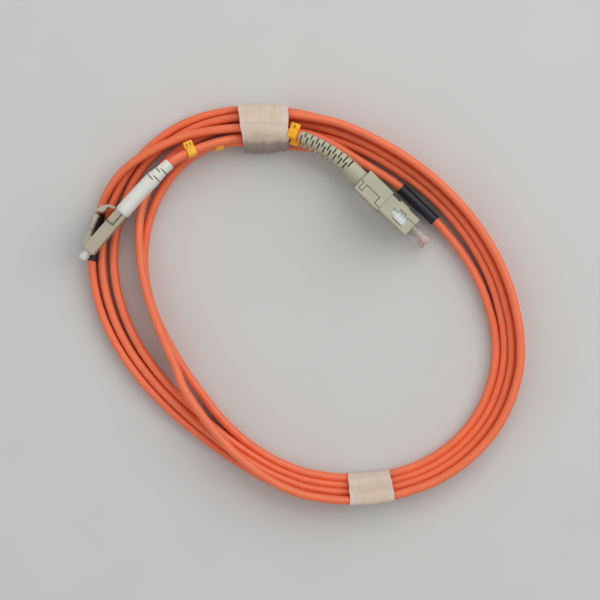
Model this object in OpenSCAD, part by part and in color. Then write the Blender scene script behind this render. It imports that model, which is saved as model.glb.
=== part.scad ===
// Duplex multimode fiber optic patch cord: two LC plugs on one end, two SC plugs on the
// other, the two-metre zip cord between them coiled in five turns and bound with tape.
// +Z is up from the table, each plug has its own frame with +X towards its tip.

/* [Cord] */
// Diameter of one of the two round cords in the zip cord
cord_d = 3; // [2.8:0.05:3.1]
// Distance between the axes of the two cords in the zip cord
cord_pitch = 3.1; // [3.05:0.01:3.15]
// Diameter of the buffered fiber inside each cord
fiber_d = 0.9; // [0.6:0.05:1]

/* [Coil] */
// Mean outer radius of the coil
coil_r = 73.8; // [72:0.1:80]
// How far the coil's outline sits off centre
coil_shift = 2; // [0:0.1:3]
// How far the oval outline swells and shrinks about the mean radius
coil_oval = 9.9; // [5:0.1:10.5]
// Distance from one turn to the next, side by side
lane_pitch = 3.1; // [3.1:0.01:3.2]
// Gap between the turns when they lie stacked or side by side
turn_gap = 0.45; // [0.42:0.01:0.5]
// Height that a turn is lifted where it lies squeezed between two others
wedge_lift = 1.6; // [1.5:0.05:1.7]

/* [LC plug] */
// Width and height of an LC plug body
lc_w = 4.5; // [4.4:0.05:4.6]
// Length of the LC front housing
lc_front_len = 11.3; // [11:0.1:12]
// Length of the LC body held by the duplex clip
lc_rear_len = 7.1; // [6.6:0.1:7.4]
// Distance between the axes of the two LC plugs
lc_pitch = 6.25; // [6.2:0.01:6.3]
// Diameter of the LC ferrule
lc_ferrule_d = 1.25; // [1.2:0.01:1.3]
// How far the LC ferrule stands out of the housing
lc_ferrule_out = 2.4; // [1.8:0.1:2.6]
// Outside diameter of the LC dust cap
lc_cap_d = 3; // [2.8:0.1:3.1]
// Thickness of the wall of the LC duplex clip
lc_clip_wall = 0.4; // [0.35:0.05:0.5]
// Diameter of the LC boot at its front end
lc_boot_d1 = 5.3; // [5:0.1:5.5]
// Diameter of the LC boot at its rear end
lc_boot_d2 = 3.8; // [3.7:0.1:4]
// Length of the LC boot
lc_boot_len = 25; // [24:0.1:26]
// Angle that the LC boot bends through
lc_boot_bend = 8.4; // [4:0.1:9]

/* [SC plug] */
// Width of the SC plug, across its key
sc_w = 7.4; // [7.3:0.05:7.5]
// Height of the SC plug, along the pair
sc_h = 9; // [8.9:0.05:9.1]
// Length of the SC outer housing
sc_len = 25; // [24.5:0.1:25.5]
// Distance between the axes of the two SC plugs
sc_pitch = 12.7; // [12.65:0.01:12.75]
// Diameter of the SC ferrule
sc_ferrule_d = 2.5; // [2.4:0.01:2.6]
// How far the SC ferrule stands out of the housing
sc_ferrule_out = 1.6; // [1:0.1:2]
// Length of the SC dust cap in front of the housing
sc_cap_len = 7.8; // [7:0.1:9]
// Length of the clip half round each SC housing
sc_clip_len = 11.5; // [11:0.1:12]
// Thickness of the wall of the SC clip
sc_clip_wall = 0.5; // [0.4:0.05:0.6]
// Diameter of the SC boot at its front end
sc_boot_d1 = 6; // [5.8:0.1:6.2]
// Diameter of the SC boot at its rear end
sc_boot_d2 = 3.8; // [3.7:0.1:4]
// Length of the slotted, curved part of the SC boot
sc_boot_arc = 21.8; // [21:0.1:22.5]
// Length of the straight, smooth part of the SC boot
sc_boot_straight = 7; // [6.5:0.1:7.5]
// Number of slotted rows in the SC boot
sc_boot_rows = 9; // [7:1:11]

/* [Sleeves, rings and tape] */
// Length of the heat-shrink sleeve where the zip cord splits
sleeve_len = 17.2; // [16:0.2:22]
// Thickness of the wall of the heat-shrink sleeve
sleeve_wall = 0.45; // [0.3:0.05:0.5]
// Length of a marker ring along the cord
marker_len = 3.4; // [3:0.1:3.8]
// Thickness of the wall of a marker ring
marker_wall = 0.5; // [0.4:0.05:0.6]
// Width of the tape on the top of the coil
top_tape_w = 18; // [15:0.5:18]
// Width of the tape on the bottom of the coil
low_tape_w = 16; // [14:0.5:18]
// Thickness of the wound tape
tape_t = 0.45; // [0.3:0.05:0.5]

/* [Hidden] */
$fn = 48;

// Colours
orange = [0.93, 0.43, 0.25];
beige = [0.70, 0.68, 0.58];
milk = [0.88, 0.90, 0.89];
clear = [0.85, 0.78, 0.75, 0.6];
black = [0.13, 0.14, 0.18];
yellow = [0.93, 0.68, 0.13];
masking = [0.85, 0.77, 0.68];
ceramic = [0.95, 0.95, 0.93];
nickel = [0.75, 0.75, 0.76];
steel = [0.6, 0.6, 0.62];

// Clearances
slip = 0.05;      // round part that slides in its bore, on the radius
seat = 0.05;      // part that sits in its seat, on each side
loose = 0.1;      // cord in a bore, on the radius
eps = 0.01;       // cuts run past a face by this much

// ---------------------------------------------------------------- coil route
origin_at = [-17.79, 0.65];   // from the middle of the coil to the frame's origin
tape_angles = [347, 160];    // where the two tapes sit, clockwise from the top
cord_r = cord_d / 2;
cord_h = cord_d + cord_pitch;
lane_0 = cord_r;
lane_1 = lane_0 + lane_pitch;
lane_2 = lane_1 + lane_pitch;
lane_3 = lane_2 + cord_d + turn_gap + 0.05;
upper = cord_h + turn_gap;
start_angle = 57;
end_angle = 4 * 360 + 282;
end_lift = 0.8;              // room under the zip cord for the wall of a sleeve
ring_step = 15;

// The cord's lane all the way round: [angle, inward distance to the cord, height]
lane_table = [
    [57, 12, end_lift], [68, 12, end_lift], [84, lane_3 + 0.2, 0], [200, lane_3, 0],
    [210, 11.6, 0], [225, 13.3, 0], [245, 17.4, 0], [260, 20.3, 0], [270, 21.4, 0], [284, 21.8, 0],
    [294, 21.3, 0], [302, 20, 0], [312, 17.1, 0], [322, 14.5, 0], [332, 12.9, 0], [342, 12.1, 0],
    [352, 10.8, 0], [362, 9.1, 0], [371, 7.9, 0],
    [378, lane_2, 0], [575, lane_2 + 0.1, 0], [600, 8.9, 0], [630, 10, 0], [648, 9.9, 0], [658, 8.9, 0],
    [668, 8.7, 0], [675, 6.4, 0], [681, 5.05, 0], [690, 5.05, 0.4], [707, 5.05, upper],
    [711, 5.1, upper], [719, 1.6, upper], [723, lane_0, upper],
    [895, lane_0, upper], [903, 1.7, 8.35], [918, 2, 8.35], [930, 3.9, 8.35], [940, 6.3, 8.35],
    [950, 9.2, 8.3], [960, 12.4, 7.8], [970, 15.8, 6.9], [980, 18.6, 6.6], [992, 20.2, 6.6],
    [1002, 20.3, 6.6], [1011, 18.8, 6.6], [1020, 16.6, 5.9], [1030, 12.9, 1.2], [1036, 11.6, 0],
    [1044, 10.4, 0], [1054, 9, 0], [1062, 8.5, 0], [1071, 7.1, 0], [1081, 5.2, 0.7],
    [1090, lane_1, wedge_lift],
    [1296, lane_1, wedge_lift], [1306, 5.1, wedge_lift], [1322, 5.1, 0], [1350, 5.9, 0],
    [1363, 6.2, 0], [1376, 5.4, 0], [1388, 5.3, 0], [1393, 3.2, 0], [1401, lane_0, 0], [1409, lane_0, 0],
    [1702, lane_0, 0], [1712, lane_0, end_lift], [1722, lane_0, end_lift]];
lane_keys = [for (k = lane_table) [k[0], k[1]]];
rise_keys = [for (k = lane_table) [k[0], k[2]]];
blend_steps = [-10, -5, 0, 5, 10];

function unit(v) = v / norm(v);
function flat(v) = unit([v[0], v[1], 0]);
function sum(v, i = 0) = i < len(v) ? v[i] + sum(v, i + 1) : 0;
function blended(table, a) = sum([for (s = blend_steps) lookup(a + s, table)]) / len(blend_steps);

// Outer radius of the coil at an angle taken clockwise from the top
function edge_r(a) = coil_r + coil_shift * cos(a - 40) + coil_oval * cos(2 * (a + 55.5))
    + 0.5 * cos(3 * (a - 48)) + 0.5 * cos(4 * (a - 31));

// The turns are lifted by the wall of a tape where they run through it
function apart(a, b) = acos(cos(a - b));
function tape_lift(a) = (tape_t + seat)
    * sum([for (t = tape_angles) pow(cos(min(4 * max(apart(a, t) - 10, 0), 90)), 2)]);

// A place given by its angle, how far it lies inward of the outer edge, and its height
function place(a, inward, z) =
    [(edge_r(a) - inward) * sin(a), (edge_r(a) - inward) * cos(a), z + tape_lift(a)];
function cord_at(a) = place(a, blended(lane_keys, a), blended(rise_keys, a));
function heading(a) = flat(place(a + 1, 0, 0) - place(a - 1, 0, 0));

sleeve_turn = 7;             // from the end of the coil to the middle of its sleeve
sleeve_lead = 0.1;           // bare cord between the coil's last ring and the sleeve
split_at = 9.6;              // length of zip cord beyond the last ring of the coil
lc_split_dir = -heading(start_angle - sleeve_turn);
sc_split_dir = heading(end_angle + sleeve_turn);
lc_split = cord_at(start_angle) + split_at * lc_split_dir;
sc_split = cord_at(end_angle) + split_at * sc_split_dir;
cord_path = concat([lc_split],
    [for (a = [start_angle : ring_step : end_angle]) cord_at(a)], [sc_split]);

// ---------------------------------------------------------------- swept cords
function leg_dir(p, i) = i < 1 || i > len(p) - 1 ? [0, 0, 0] : unit(p[i] - p[i - 1]);
function bend_dir(p, i) = unit(leg_dir(p, i) + leg_dir(p, i + 1));
function side_dir(d) = unit(cross(d, [0, 0, 1]));

// Closed skin over a row of rings that all have the same number of points. Each end is one flat face, or
// with waisted two fans of triangles, one over each half of the outline
module skin(rings, waisted = false) {
    n = len(rings[0]);
    last = (len(rings) - 1) * n;
    fans = [for (k = [0 : n / 2 - 2]) each [[n - 1, k, k + 1], [n / 2 - 1, n / 2 + k, n / 2 + k + 1]]];
    ends = waisted ? [for (t = fans) each [[t[2], t[1], t[0]], [for (k = t) last + k]]]
        : [[for (k = [n - 1 : -1 : 0]) k], [for (k = [0 : n - 1]) last + k]];
    walls = [for (i = [0 : len(rings) - 2]) for (k = [0 : n - 1])
        let (a = i * n + k, b = i * n + (k + 1) % n) each [[a, b + n, a + n], [a, b, b + n]]];
    polyhedron(points = [for (r = rings) each r], faces = concat(ends, walls));
}

// An outline carried along a path; sizes scales it from ring to ring
module sweep(path, outline, upright = false, sizes = [], waisted = false) {
    skin([for (i = [0 : len(path) - 1])
        let (d = bend_dir(path, i), side = side_dir(d), up = upright ? [0, 0, 1] : cross(side, d),
            size = len(sizes) > 0 ? sizes[i] : 1)
        [for (q = outline) path[i] + size * (q[0] * side + q[1] * up)]], waisted);
}

// Section of the zip cord: two six-sided cords, one on the other, joined at a narrow waist
function hexagon(z, from) = [for (k = [0 : 4])
    [cord_r * cos(from + 60 * k), z + cord_r * sin(from + 60 * k)]];
waist = 0.5;
zip_outline = concat(hexagon(cord_r, -210), [[waist, cord_h / 2]],
    hexagon(cord_r + cord_pitch, -30), [[-waist, cord_h / 2]]);
leg_sides = 8;
leg_outline = [for (k = [0 : leg_sides - 1])
    let (a = 360 * (k + 0.5) / leg_sides) cord_r * [cos(a), sin(a)]];

// Least gap between the turns, on points along the cord's two axes
fine_step = 4;
fine = [for (i = [1 : len(cord_path) - 3]) for (k = [0 : fine_step - 1])
    cord_path[i] + (cord_path[i + 1] - cord_path[i]) * k / fine_step];
per_turn = 360 / ring_step * fine_step;
gaps = [for (i = [0 : len(fine) - 1]) for (turn = [1 : 4]) for (near = [-2 : 2])
    let (j = i + turn * per_turn + near) if (j < len(fine))
        min([for (h = [-cord_pitch, 0, cord_pitch]) norm(fine[i] - fine[j] + [0, 0, h])]) - cord_d];
cord_len = sum([for (i = [1 : len(cord_path) - 1]) norm(cord_path[i] - cord_path[i - 1])]);
echo(least_gap_between_turns = min(gaps), zip_cord_length = cord_len);

// ---------------------------------------------------------------- plug places
lc_turn = -131;              // direction of the LC tips, from +X
sc_turn = -44.3;
lc_clip_h = lc_pitch + lc_w + 2 * (lc_clip_wall + seat);
sc_clip_h = sc_pitch + sc_h + 2 * (sc_clip_wall + seat);
lc_rest_z = 7.7;             // the LC pair lies on the turns, the SC pair on the table
lc_low = [-77.8, 19.7, lc_rest_z + lc_w / 2 + lc_clip_wall + seat];
sc_low = [38.8, 28, sc_h / 2 + sc_clip_wall + seat];
lc_places = [lc_low + [0, 0, lc_pitch], lc_low];
sc_places = [sc_low + [0, 0, sc_pitch], sc_low];

// A boot runs straight and then along an arc; its bend is turned about the plug's axis
lc_boot_x = -(lc_front_len + lc_rear_len);
lc_boot_straight = 6.2;
sc_boot_x = -(sc_len - 1);
lc_boots = [[lc_boot_bend, 180], [lc_boot_bend, 180]];
sc_boots = [[25.4, 26.5], [40.3, -41.8]];
lc_boot_arc = lc_boot_len - lc_boot_straight;

function boot_point(x0, straight, arc, bend, s) = s <= straight ? [x0 - s, 0, 0]
    : let (r = arc / (bend * PI / 180), a = (s - straight) / arc * bend)
        [x0 - straight - r * sin(a), -r * (1 - cos(a)), 0];
function rolled(p, roll) =
    [p[0], p[1] * cos(roll) - p[2] * sin(roll), p[1] * sin(roll) + p[2] * cos(roll)];
function turned(p, turn) =
    [p[0] * cos(turn) - p[1] * sin(turn), p[0] * sin(turn) + p[1] * cos(turn), p[2]];

function lc_boot_at(i, s) = lc_places[i] + turned(rolled(
    boot_point(lc_boot_x, lc_boot_straight, lc_boot_arc, lc_boots[i][0], s), lc_boots[i][1]), lc_turn);
function sc_boot_at(i, s) = sc_places[i] + turned(rolled(
    boot_point(sc_boot_x, sc_boot_straight, sc_boot_arc, sc_boots[i][0], s), sc_boots[i][1]), sc_turn);

// The free cords: out of the boot, through these places, and straight into the sleeve
boot_exit = marker_len + 1;  // straight run behind a boot
lc_post = 3.2;               // length of the post that the crimp sleeve holds
sc_post = 4;
lc_boot_stops = [lc_post, lc_boot_straight, 10, 14, 18, 21.5, lc_boot_len];
sc_boot_len = sc_boot_straight + sc_boot_arc;
sc_boot_stops = [sc_post, sc_boot_straight, 11, 15, 19, 23, 26, sc_boot_len];
lc_places_a = [[321, 12.6, 15], [327, 12.6, 13.5], [332, 12.5, 12.3], [338, 12.2, 10.8],
    [341.5, 12.1, 9.8], [344.5, 12, 8.7], [347.5, 11.4, 7.8], [351, 10.2, 7.7], [355, 8.8, 7.75],
    [359.5, 8.1, 7.85], [364, 8.1, 7.85], [369, 8.8, 7.75], [374.5, 9.9, 7.4], [380, 10.7, 6.7], [387, 11.1, 5.8]];
lc_places_b = [[322, 13.1, 9.8], [329, 13.3, 8.5], [335.5, 13.2, 7.8], [341, 14, 7.3], [347, 15.3, 4.7],
    [354, 14, 2.2], [362, 12.6, 1.7], [371, 11.3, 1.6], [379, 11.15, 1.7], [387, 10.8, 2]];
sc_places_a = [[350.5, 9, 13.8], [344, 8.7, 13.1], [338, 8.4, 12.5], [332, 7.8, 12.1], [326, 6.7, 11.6],
    [320, 5.7, 11.3], [314, 4.4, 11], [309, 2.9, 10.4], [304, 1.7, 7.9]];
sc_places_b = [[350.5, 10.2, 10.9], [344, 9, 9.9], [338, 8.6, 9.4], [332, 7.9, 9], [326, 6.7, 8.5],
    [320, 5.7, 8.2], [314, 4.4, 7.9], [309, 2.9, 7.3], [304, 1.7, 4.8]];

function run_out(from, past) = past + boot_exit * unit(past - from);
function leg_path(boot, places, split, dir, z) = concat(boot,
    [run_out(boot[len(boot) - 2], boot[len(boot) - 1])],
    [for (p = places) place(p[0], p[1], p[2])],
    [for (s = [sleeve_len + sleeve_lead - split_at + cord_d, 0]) split + s * dir + [0, 0, z]]);

function lc_leg(i) = leg_path([for (s = lc_boot_stops) lc_boot_at(i, s)], i == 0 ? lc_places_a : lc_places_b,
    lc_split, lc_split_dir, i == 0 ? cord_r + cord_pitch : cord_r);
function sc_leg(i) = leg_path([for (s = sc_boot_stops) sc_boot_at(i, s)], i == 0 ? sc_places_a : sc_places_b,
    sc_split, sc_split_dir, i == 0 ? cord_r + cord_pitch : cord_r);

// ---------------------------------------------------------------- helpers
module framed() translate([-origin_at[0], -origin_at[1], 0]) children();
module at_lc(i) framed() translate(lc_places[i]) rotate([0, 0, lc_turn]) children();
module at_sc(i) framed() translate(sc_places[i]) rotate([0, 0, sc_turn]) children();

// In a plug's frame, b counts backwards from the front face of its housing
module rod(b0, b1, d) {
    translate([-b1, 0, 0])
        rotate([0, 90, 0])
            cylinder(h = b1 - b0, d = d);
}

module box(b0, b1, w, h) {
    translate([-b1, -w / 2, -h / 2])
        cube([b1 - b0, w, h]);
}

// Side profile given as [b, height above the plug's axis]; flip puts it on the -Y side
module profile(points, wide, flip = false) {
    linear_extrude(wide, center = true)
        polygon([for (p = points) [-p[0], flip ? -p[1] : p[1]]]);
}

module pin(b, rise, d, wide, flip = false) {
    translate([-b, flip ? -rise : rise, 0])
        cylinder(h = wide, d = d, center = true);
}

// Body with its front edges bevelled
module bevelled(b1, w, h, bevel) {
    intersection() {
        profile([[0, bevel - w / 2], [bevel, -w / 2], [b1, -w / 2], [b1, w / 2], [bevel, w / 2],
            [0, w / 2 - bevel]], h);
        rotate([90, 0, 0])
            profile([[0, bevel - h / 2], [bevel, -h / 2], [b1, -h / 2], [b1, h / 2], [bevel, h / 2],
                [0, h / 2 - bevel]], w);
    }
}

// Coil spring with its axis along X
spring_sides = 5;
module spring(b0, b1, d, wire, turns) {
    r = (d - wire) / 2;
    n = 8 * turns;
    rise = b1 - b0 - wire;
    translate([-b1, 0, 0])
        rotate([0, 90, 0])
            sweep([for (k = [0 : n]) [r * cos(45 * k), r * sin(45 * k), wire / 2 + rise * k / n]],
                [for (k = [0 : spring_sides - 1]) wire / 2 * [cos(72 * k + 18), sin(72 * k + 18)]]);
}

// ---------------------------------------------------------------- cord, legs and sleeves
module duplex_cord() color(orange) framed() sweep(cord_path, zip_outline, true, waisted = true);
module lc_leg_a() color(orange) framed() sweep(lc_leg(0), leg_outline);
module lc_leg_b() color(orange) framed() sweep(lc_leg(1), leg_outline);
module sc_leg_a() color(orange) framed() sweep(sc_leg(0), leg_outline);
module sc_leg_b() color(orange) framed() sweep(sc_leg(1), leg_outline);

// Stadium-shaped bar along X that holds the two stacked cords
module stadium(r, long) {
    for (z = [cord_r, cord_r + cord_pitch])
        translate([0, 0, z])
            rotate([0, 90, 0])
                cylinder(h = long, r = r);
    translate([0, -r, cord_r])
        cube([long, 2 * r, cord_pitch]);
}

module split_sleeve(split, dir) {
    color(black)
        framed()
            translate(split + (sleeve_lead - split_at) * dir)
                rotate([0, 0, atan2(dir[1], dir[0])])
                    difference() {
                        stadium(cord_r + loose + sleeve_wall, sleeve_len);
                        translate([-eps, 0, 0])
                            stadium(cord_r + loose, sleeve_len + 2 * eps);
                    }
}
module lc_split_sleeve() split_sleeve(lc_split, lc_split_dir);
module sc_split_sleeve() split_sleeve(sc_split, sc_split_dir);

// Marker ring that snaps on the cord between two places, open below, with a flag above
flag = 0.2;
module marker(p, q) {
    d = q - p;
    color(yellow)
        framed()
            translate((p + q) / 2)
                rotate([0, acos(d[2] / norm(d)), atan2(d[1], d[0])])
                    difference() {
                        union() {
                            cylinder(h = marker_len, r = cord_r + slip + marker_wall, center = true);
                            translate([-cord_r - marker_wall - flag, -0.8, -marker_len / 2])
                                cube([1, 1.6, marker_len]);
                        }
                        cylinder(h = marker_len + 1, r = cord_r + slip, center = true);
                        translate([0, -0.7, -marker_len])
                            cube([4, 1.4, 2 * marker_len]);
                    }
}
lc_boot_posts = len(lc_boot_stops) + 1;
module lc_marker_a() marker(lc_leg(0)[lc_boot_posts], lc_leg(0)[lc_boot_posts + 1]);
module lc_marker_b() marker(lc_leg(1)[lc_boot_posts + 1], lc_leg(1)[lc_boot_posts + 2]);
module sc_marker_a() marker(sc_leg(0)[len(sc_boot_stops) - 1], sc_leg(0)[len(sc_boot_stops)]);
module sc_marker_b() marker(sc_leg(1)[len(sc_boot_stops) - 1], sc_leg(1)[len(sc_boot_stops)]);

// Tape wound round the bundle: [inward, height] corners of the space that it encloses
top_tape_space = [[-0.1, tape_t], [17.4, tape_t], [17.4, 10], [11.8, 16.3], [4, 16.3], [-0.1, 12.8]];
low_tape_space = [[-0.1, tape_t], [13.6, tape_t], [13.6, 7.2], [6.4, 8.8], [3.2, 13.4], [-0.1, 13.4]];
function edge_out(a, b) = let (d = unit(b - a)) [d[1], -d[0]];
function grown(p, t) = [for (i = [0 : len(p) - 1])
    let (n = len(p), u = edge_out(p[(i + n - 1) % n], p[i]), v = edge_out(p[i], p[(i + 1) % n]))
    p[i] + t * (u + v) / (1 + u * v)];
function on_table(a, q) = [(edge_r(a) - q[0]) * sin(a), (edge_r(a) - q[0]) * cos(a), q[1]];
module tape_band(space, mid, half, past = 0) {
    skin([for (k = [-1 : 0.5 : 1]) [for (q = space) on_table(mid + k * (half + past), q)]]);
}
module wound_tape(space, mid, wide) {
    half = wide / 2 / edge_r(mid) * 180 / PI;
    color(masking)
        framed()
            difference() {
                tape_band(grown(space, tape_t), mid, half);
                tape_band(space, mid, half, 0.5);
            }
}
module top_tape() wound_tape(top_tape_space, tape_angles[0], top_tape_w);
module bottom_tape() wound_tape(low_tape_space, tape_angles[1], low_tape_w);

// ---------------------------------------------------------------- LC plugs
// The latch side of an LC plug is its -Y side
lc_pivot = [4.9, 3.65];      // barrel at the front end of the latch arm
barrel_d = 1;
arm_w = 2.6;
lc_recess_d = 3.3;
lc_cavity_d = 3.4;
lc_shoulder = 3.6;           // from the front face to the shoulder that the flange rests on
lc_flange_len = 2.2;
lc_spigot_b = 9.5;           // front end of the back body, inside the housing
lc_clip_w = lc_w + 2 * (lc_clip_wall + seat);
lc_clip_b = 11.5;
lc_trigger_pivot = [18, 3.3];
lc_lug = [[17.1, 2.6], [18.3, 2.6], [18.5, 2.75], [18.9, 2.75], [18.9, 3.3], [17.1, 3.3]];

module lc_housing(i) {
    color(beige)
        at_lc(i)
            difference() {
                union() {
                    bevelled(lc_front_len, lc_w, lc_w, 0.35);
                    profile([[0.7, 2.2], [0.7, 3], [4.2, 4.2], [4.9, 4.2], [4.9, 2.2]], arm_w, true);
                }
                rod(-1, 2.8, lc_recess_d);
                rod(0, lc_shoulder, 2);
                rod(lc_shoulder, lc_front_len + 1, lc_cavity_d);
                pin(lc_pivot[0], lc_pivot[1], barrel_d + 2 * slip, arm_w + 1, true);
            }
}
module lc_housing_a() lc_housing(0);
module lc_housing_b() lc_housing(1);

// Latch arm with its two shoulders, on a barrel that rolls in the housing's socket
lc_arm = [[4.74, 4.07], [11.7, 6.9], [12.25, 6.75], [12.25, 5.4], [11.6, 5.45], [5.06, 3.23]];
module lc_latch(i) {
    color(beige)
        at_lc(i) {
            profile(lc_arm, arm_w, true);
            pin(lc_pivot[0], lc_pivot[1], barrel_d, arm_w, true);
            intersection() {
                profile(lc_arm, 4.2, true);
                translate([0, -5, 0])
                    box(7, 8.6, 6, 5);
            }
        }
}
module lc_latch_a() lc_latch(0);
module lc_latch_b() lc_latch(1);

module lc_ferrule(i) color(ceramic) at_lc(i) rod(-lc_ferrule_out, 6, lc_ferrule_d);
module lc_ferrule_a() lc_ferrule(0);
module lc_ferrule_b() lc_ferrule(1);

module lc_flange(i) {
    color(nickel)
        at_lc(i)
            difference() {
                rod(lc_shoulder + slip, lc_shoulder + slip + lc_flange_len, 3.1);
                rod(0, 10, lc_ferrule_d);
            }
}
module lc_flange_a() lc_flange(0);
module lc_flange_b() lc_flange(1);

module lc_spring(i) {
    color(steel)
        at_lc(i)
            spring(lc_shoulder + slip + lc_flange_len, lc_spigot_b, 3, 0.4, 4);
}
module lc_spring_a() lc_spring(0);
module lc_spring_b() lc_spring(1);

module lc_back_body(i) {
    back = lc_front_len + lc_rear_len;
    color(beige)
        at_lc(i)
            difference() {
                union() {
                    rod(lc_spigot_b, lc_front_len + 0.2, lc_cavity_d - slip);
                    box(lc_front_len, back, lc_w - 2 * seat, lc_w - 2 * seat);
                    rod(back - eps, back + lc_post, 3.2);
                }
                rod(0, 30, 1.1);
            }
}
module lc_back_body_a() lc_back_body(0);
module lc_back_body_b() lc_back_body(1);

module lc_crimp_sleeve(i) {
    back = lc_front_len + lc_rear_len;
    color(nickel)
        at_lc(i)
            difference() {
                rod(back + 0.1, back + 6, 3.9);
                rod(back, back + lc_post, 3.2 + slip);
                rod(back, back + 10, cord_d + loose);
            }
}
module lc_crimp_sleeve_a() lc_crimp_sleeve(0);
module lc_crimp_sleeve_b() lc_crimp_sleeve(1);

// Boot: a straight neck, then an arc that grows thinner, with cross slits
boot_sides = 24;
ring_24 = [for (k = [0 : boot_sides - 1]) let (a = 360 * k / boot_sides) [cos(a), sin(a)]];
module boot_tube(x0, straight, arc, bend, stops, r0, r1) {
    long = straight + arc;
    sweep([for (s = stops) boot_point(x0, straight, arc, bend, s)], ring_24, false,
        [for (s = stops) r0 + (r1 - r0) * min(max(s / long, 0), 1)]);
}
module boot_slit(x0, straight, arc, bend, s, reach, wide) {
    translate(boot_point(x0, straight, arc, bend, s))
        rotate([0, 0, (s - straight) / arc * bend])
            for (side = [-1, 1])
                rotate([side * 90 + 90, 0, 0])
                    translate([-wide / 2, -4, reach])
                        cube([wide, 8, 4]);
}

module lc_boot(i) {
    bend = lc_boots[i][0];
    stops = [0, 3, lc_boot_straight, 9, 12, 15, 18, 21.5, lc_boot_len];
    bore_stops = [5.8, lc_boot_straight, 9, 12, 15, 18, 21.5, lc_boot_len, lc_boot_len + 1];
    color(milk)
        at_lc(i)
            rotate([lc_boots[i][1], 0, 0])
                difference() {
                    boot_tube(lc_boot_x, lc_boot_straight, lc_boot_arc, bend, stops,
                        lc_boot_d1 / 2, lc_boot_d2 / 2);
                    boot_tube(lc_boot_x, lc_boot_straight, lc_boot_arc, bend, bore_stops,
                        cord_r + loose, cord_r + loose);
                    rod(lc_front_len + lc_rear_len - 1, lc_front_len + lc_rear_len + 6.1, 4);
                    for (s = [17.5, 20, 22.5])
                        boot_slit(lc_boot_x, lc_boot_straight, lc_boot_arc, bend, s, 1.75, 0.8);
                }
}
module lc_boot_a() lc_boot(0);
module lc_boot_b() lc_boot(1);

module lc_fiber(i) color(clear) at_lc(i) rod(6, lc_front_len + lc_rear_len + lc_post - 1, fiber_d);
module lc_fiber_a() lc_fiber(0);
module lc_fiber_b() lc_fiber(1);

// Dust cap: a collar inside the housing's recess, slid over the ferrule
module lc_dust_cap(i) {
    color(milk)
        at_lc(i)
            difference() {
                union() {
                    rod(-0.05, 1.5, lc_recess_d - 2 * slip);
                    rod(-3.3, 0.05, lc_cap_d);
                    rod(-4.1, -3.2, lc_cap_d - 0.7);
                }
                rod(-3, 2, lc_ferrule_d + 0.08);
            }
}
module lc_dust_cap_a() lc_dust_cap(0);
module lc_dust_cap_b() lc_dust_cap(1);

// Clip that holds both LC plugs, with the half-round seats of the trigger
module lc_duplex_clip() {
    back = lc_front_len + lc_rear_len;
    color(beige)
        at_lc(1)
            translate([0, 0, lc_pitch / 2])
                difference() {
                    union() {
                        box(lc_clip_b, back - 0.1, lc_clip_w, lc_clip_h);
                        translate([0, 0, lc_clip_h / 2])
                            profile([[13.4, -0.65], [18.2, -0.65], [18.2, 2.6], [13.4, 2.6]], 1, true);
                        for (z = [-lc_pitch / 2, lc_pitch / 2])
                            translate([0, 0, z])
                                profile(lc_lug, 3.4, true);
                    }
                    for (z = [-lc_pitch / 2, lc_pitch / 2])
                        translate([0, 0, z]) {
                            box(0, 30, lc_w, lc_w);
                            pin(lc_trigger_pivot[0], lc_trigger_pivot[1], barrel_d + 2 * slip, 5, true);
                        }
                }
}

// Trigger: two prongs that press the latch arms, joined by one bar at the root
lc_prong = [[18.5, 3.3], [18.3, 4.6], [17.4, 5.8], [16.3, 6.8], [15.3, 7.35], [13.5, 7.85], [12, 7.9],
    [11.9, 7.05], [13.4, 6.9], [15, 6.3], [16, 5.6], [16.8, 4.8], [17.3, 4], [17.5, 3.3]];
lc_bar = [[18.45, 3.9], [18.3, 4.6], [17.4, 5.8], [16.8, 4.8], [17.3, 4]];
module lc_trigger() {
    color(beige)
        at_lc(1) {
            for (z = [0, lc_pitch])
                translate([0, 0, z]) {
                    profile(lc_prong, 3.4, true);
                    pin(lc_trigger_pivot[0], lc_trigger_pivot[1], barrel_d, 3.4, true);
                }
            translate([0, 0, lc_pitch / 2])
                profile(lc_bar, lc_pitch, true);
        }
}

// ---------------------------------------------------------------- SC plugs
// The key of an SC plug is on its +Y side
sc_in_w = sc_w - 1.6;
sc_in_h = sc_h - 1.6;
sc_cavity_d = 4.6;
sc_shoulder = 6;             // from the front face to the shoulder that the flange rests on
sc_flange_len = 3;
sc_spigot_b = 14.5;
sc_frame_b = 17;             // rear end of the plug frame
sc_clip_w = sc_w + 2 * (sc_clip_wall + seat);

module sc_window() {
    profile([[2.8, -1.65], [2.8, 1.65], [6.9, 1.65], [6.9, 0.85], [9.6, 0.85],
        [9.6, -0.85], [6.9, -0.85], [6.9, -1.65]], sc_h + 1);
}

module sc_housing(i) {
    color(beige)
        at_sc(i)
            difference() {
                union() {
                    bevelled(sc_len, sc_w, sc_h, 0.4);
                    profile([[0, 3.5], [9.6, 3.5], [9.6, 4.7], [0.4, 4.7], [0, 4.3]], 2.8);
                }
                box(-1, sc_len + 1, sc_in_w, sc_in_h);
                box(sc_len - 2.5, sc_len + 1, sc_in_w + 0.8, sc_in_h);
                sc_window();
            }
}
module sc_housing_a() sc_housing(0);
module sc_housing_b() sc_housing(1);

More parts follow.
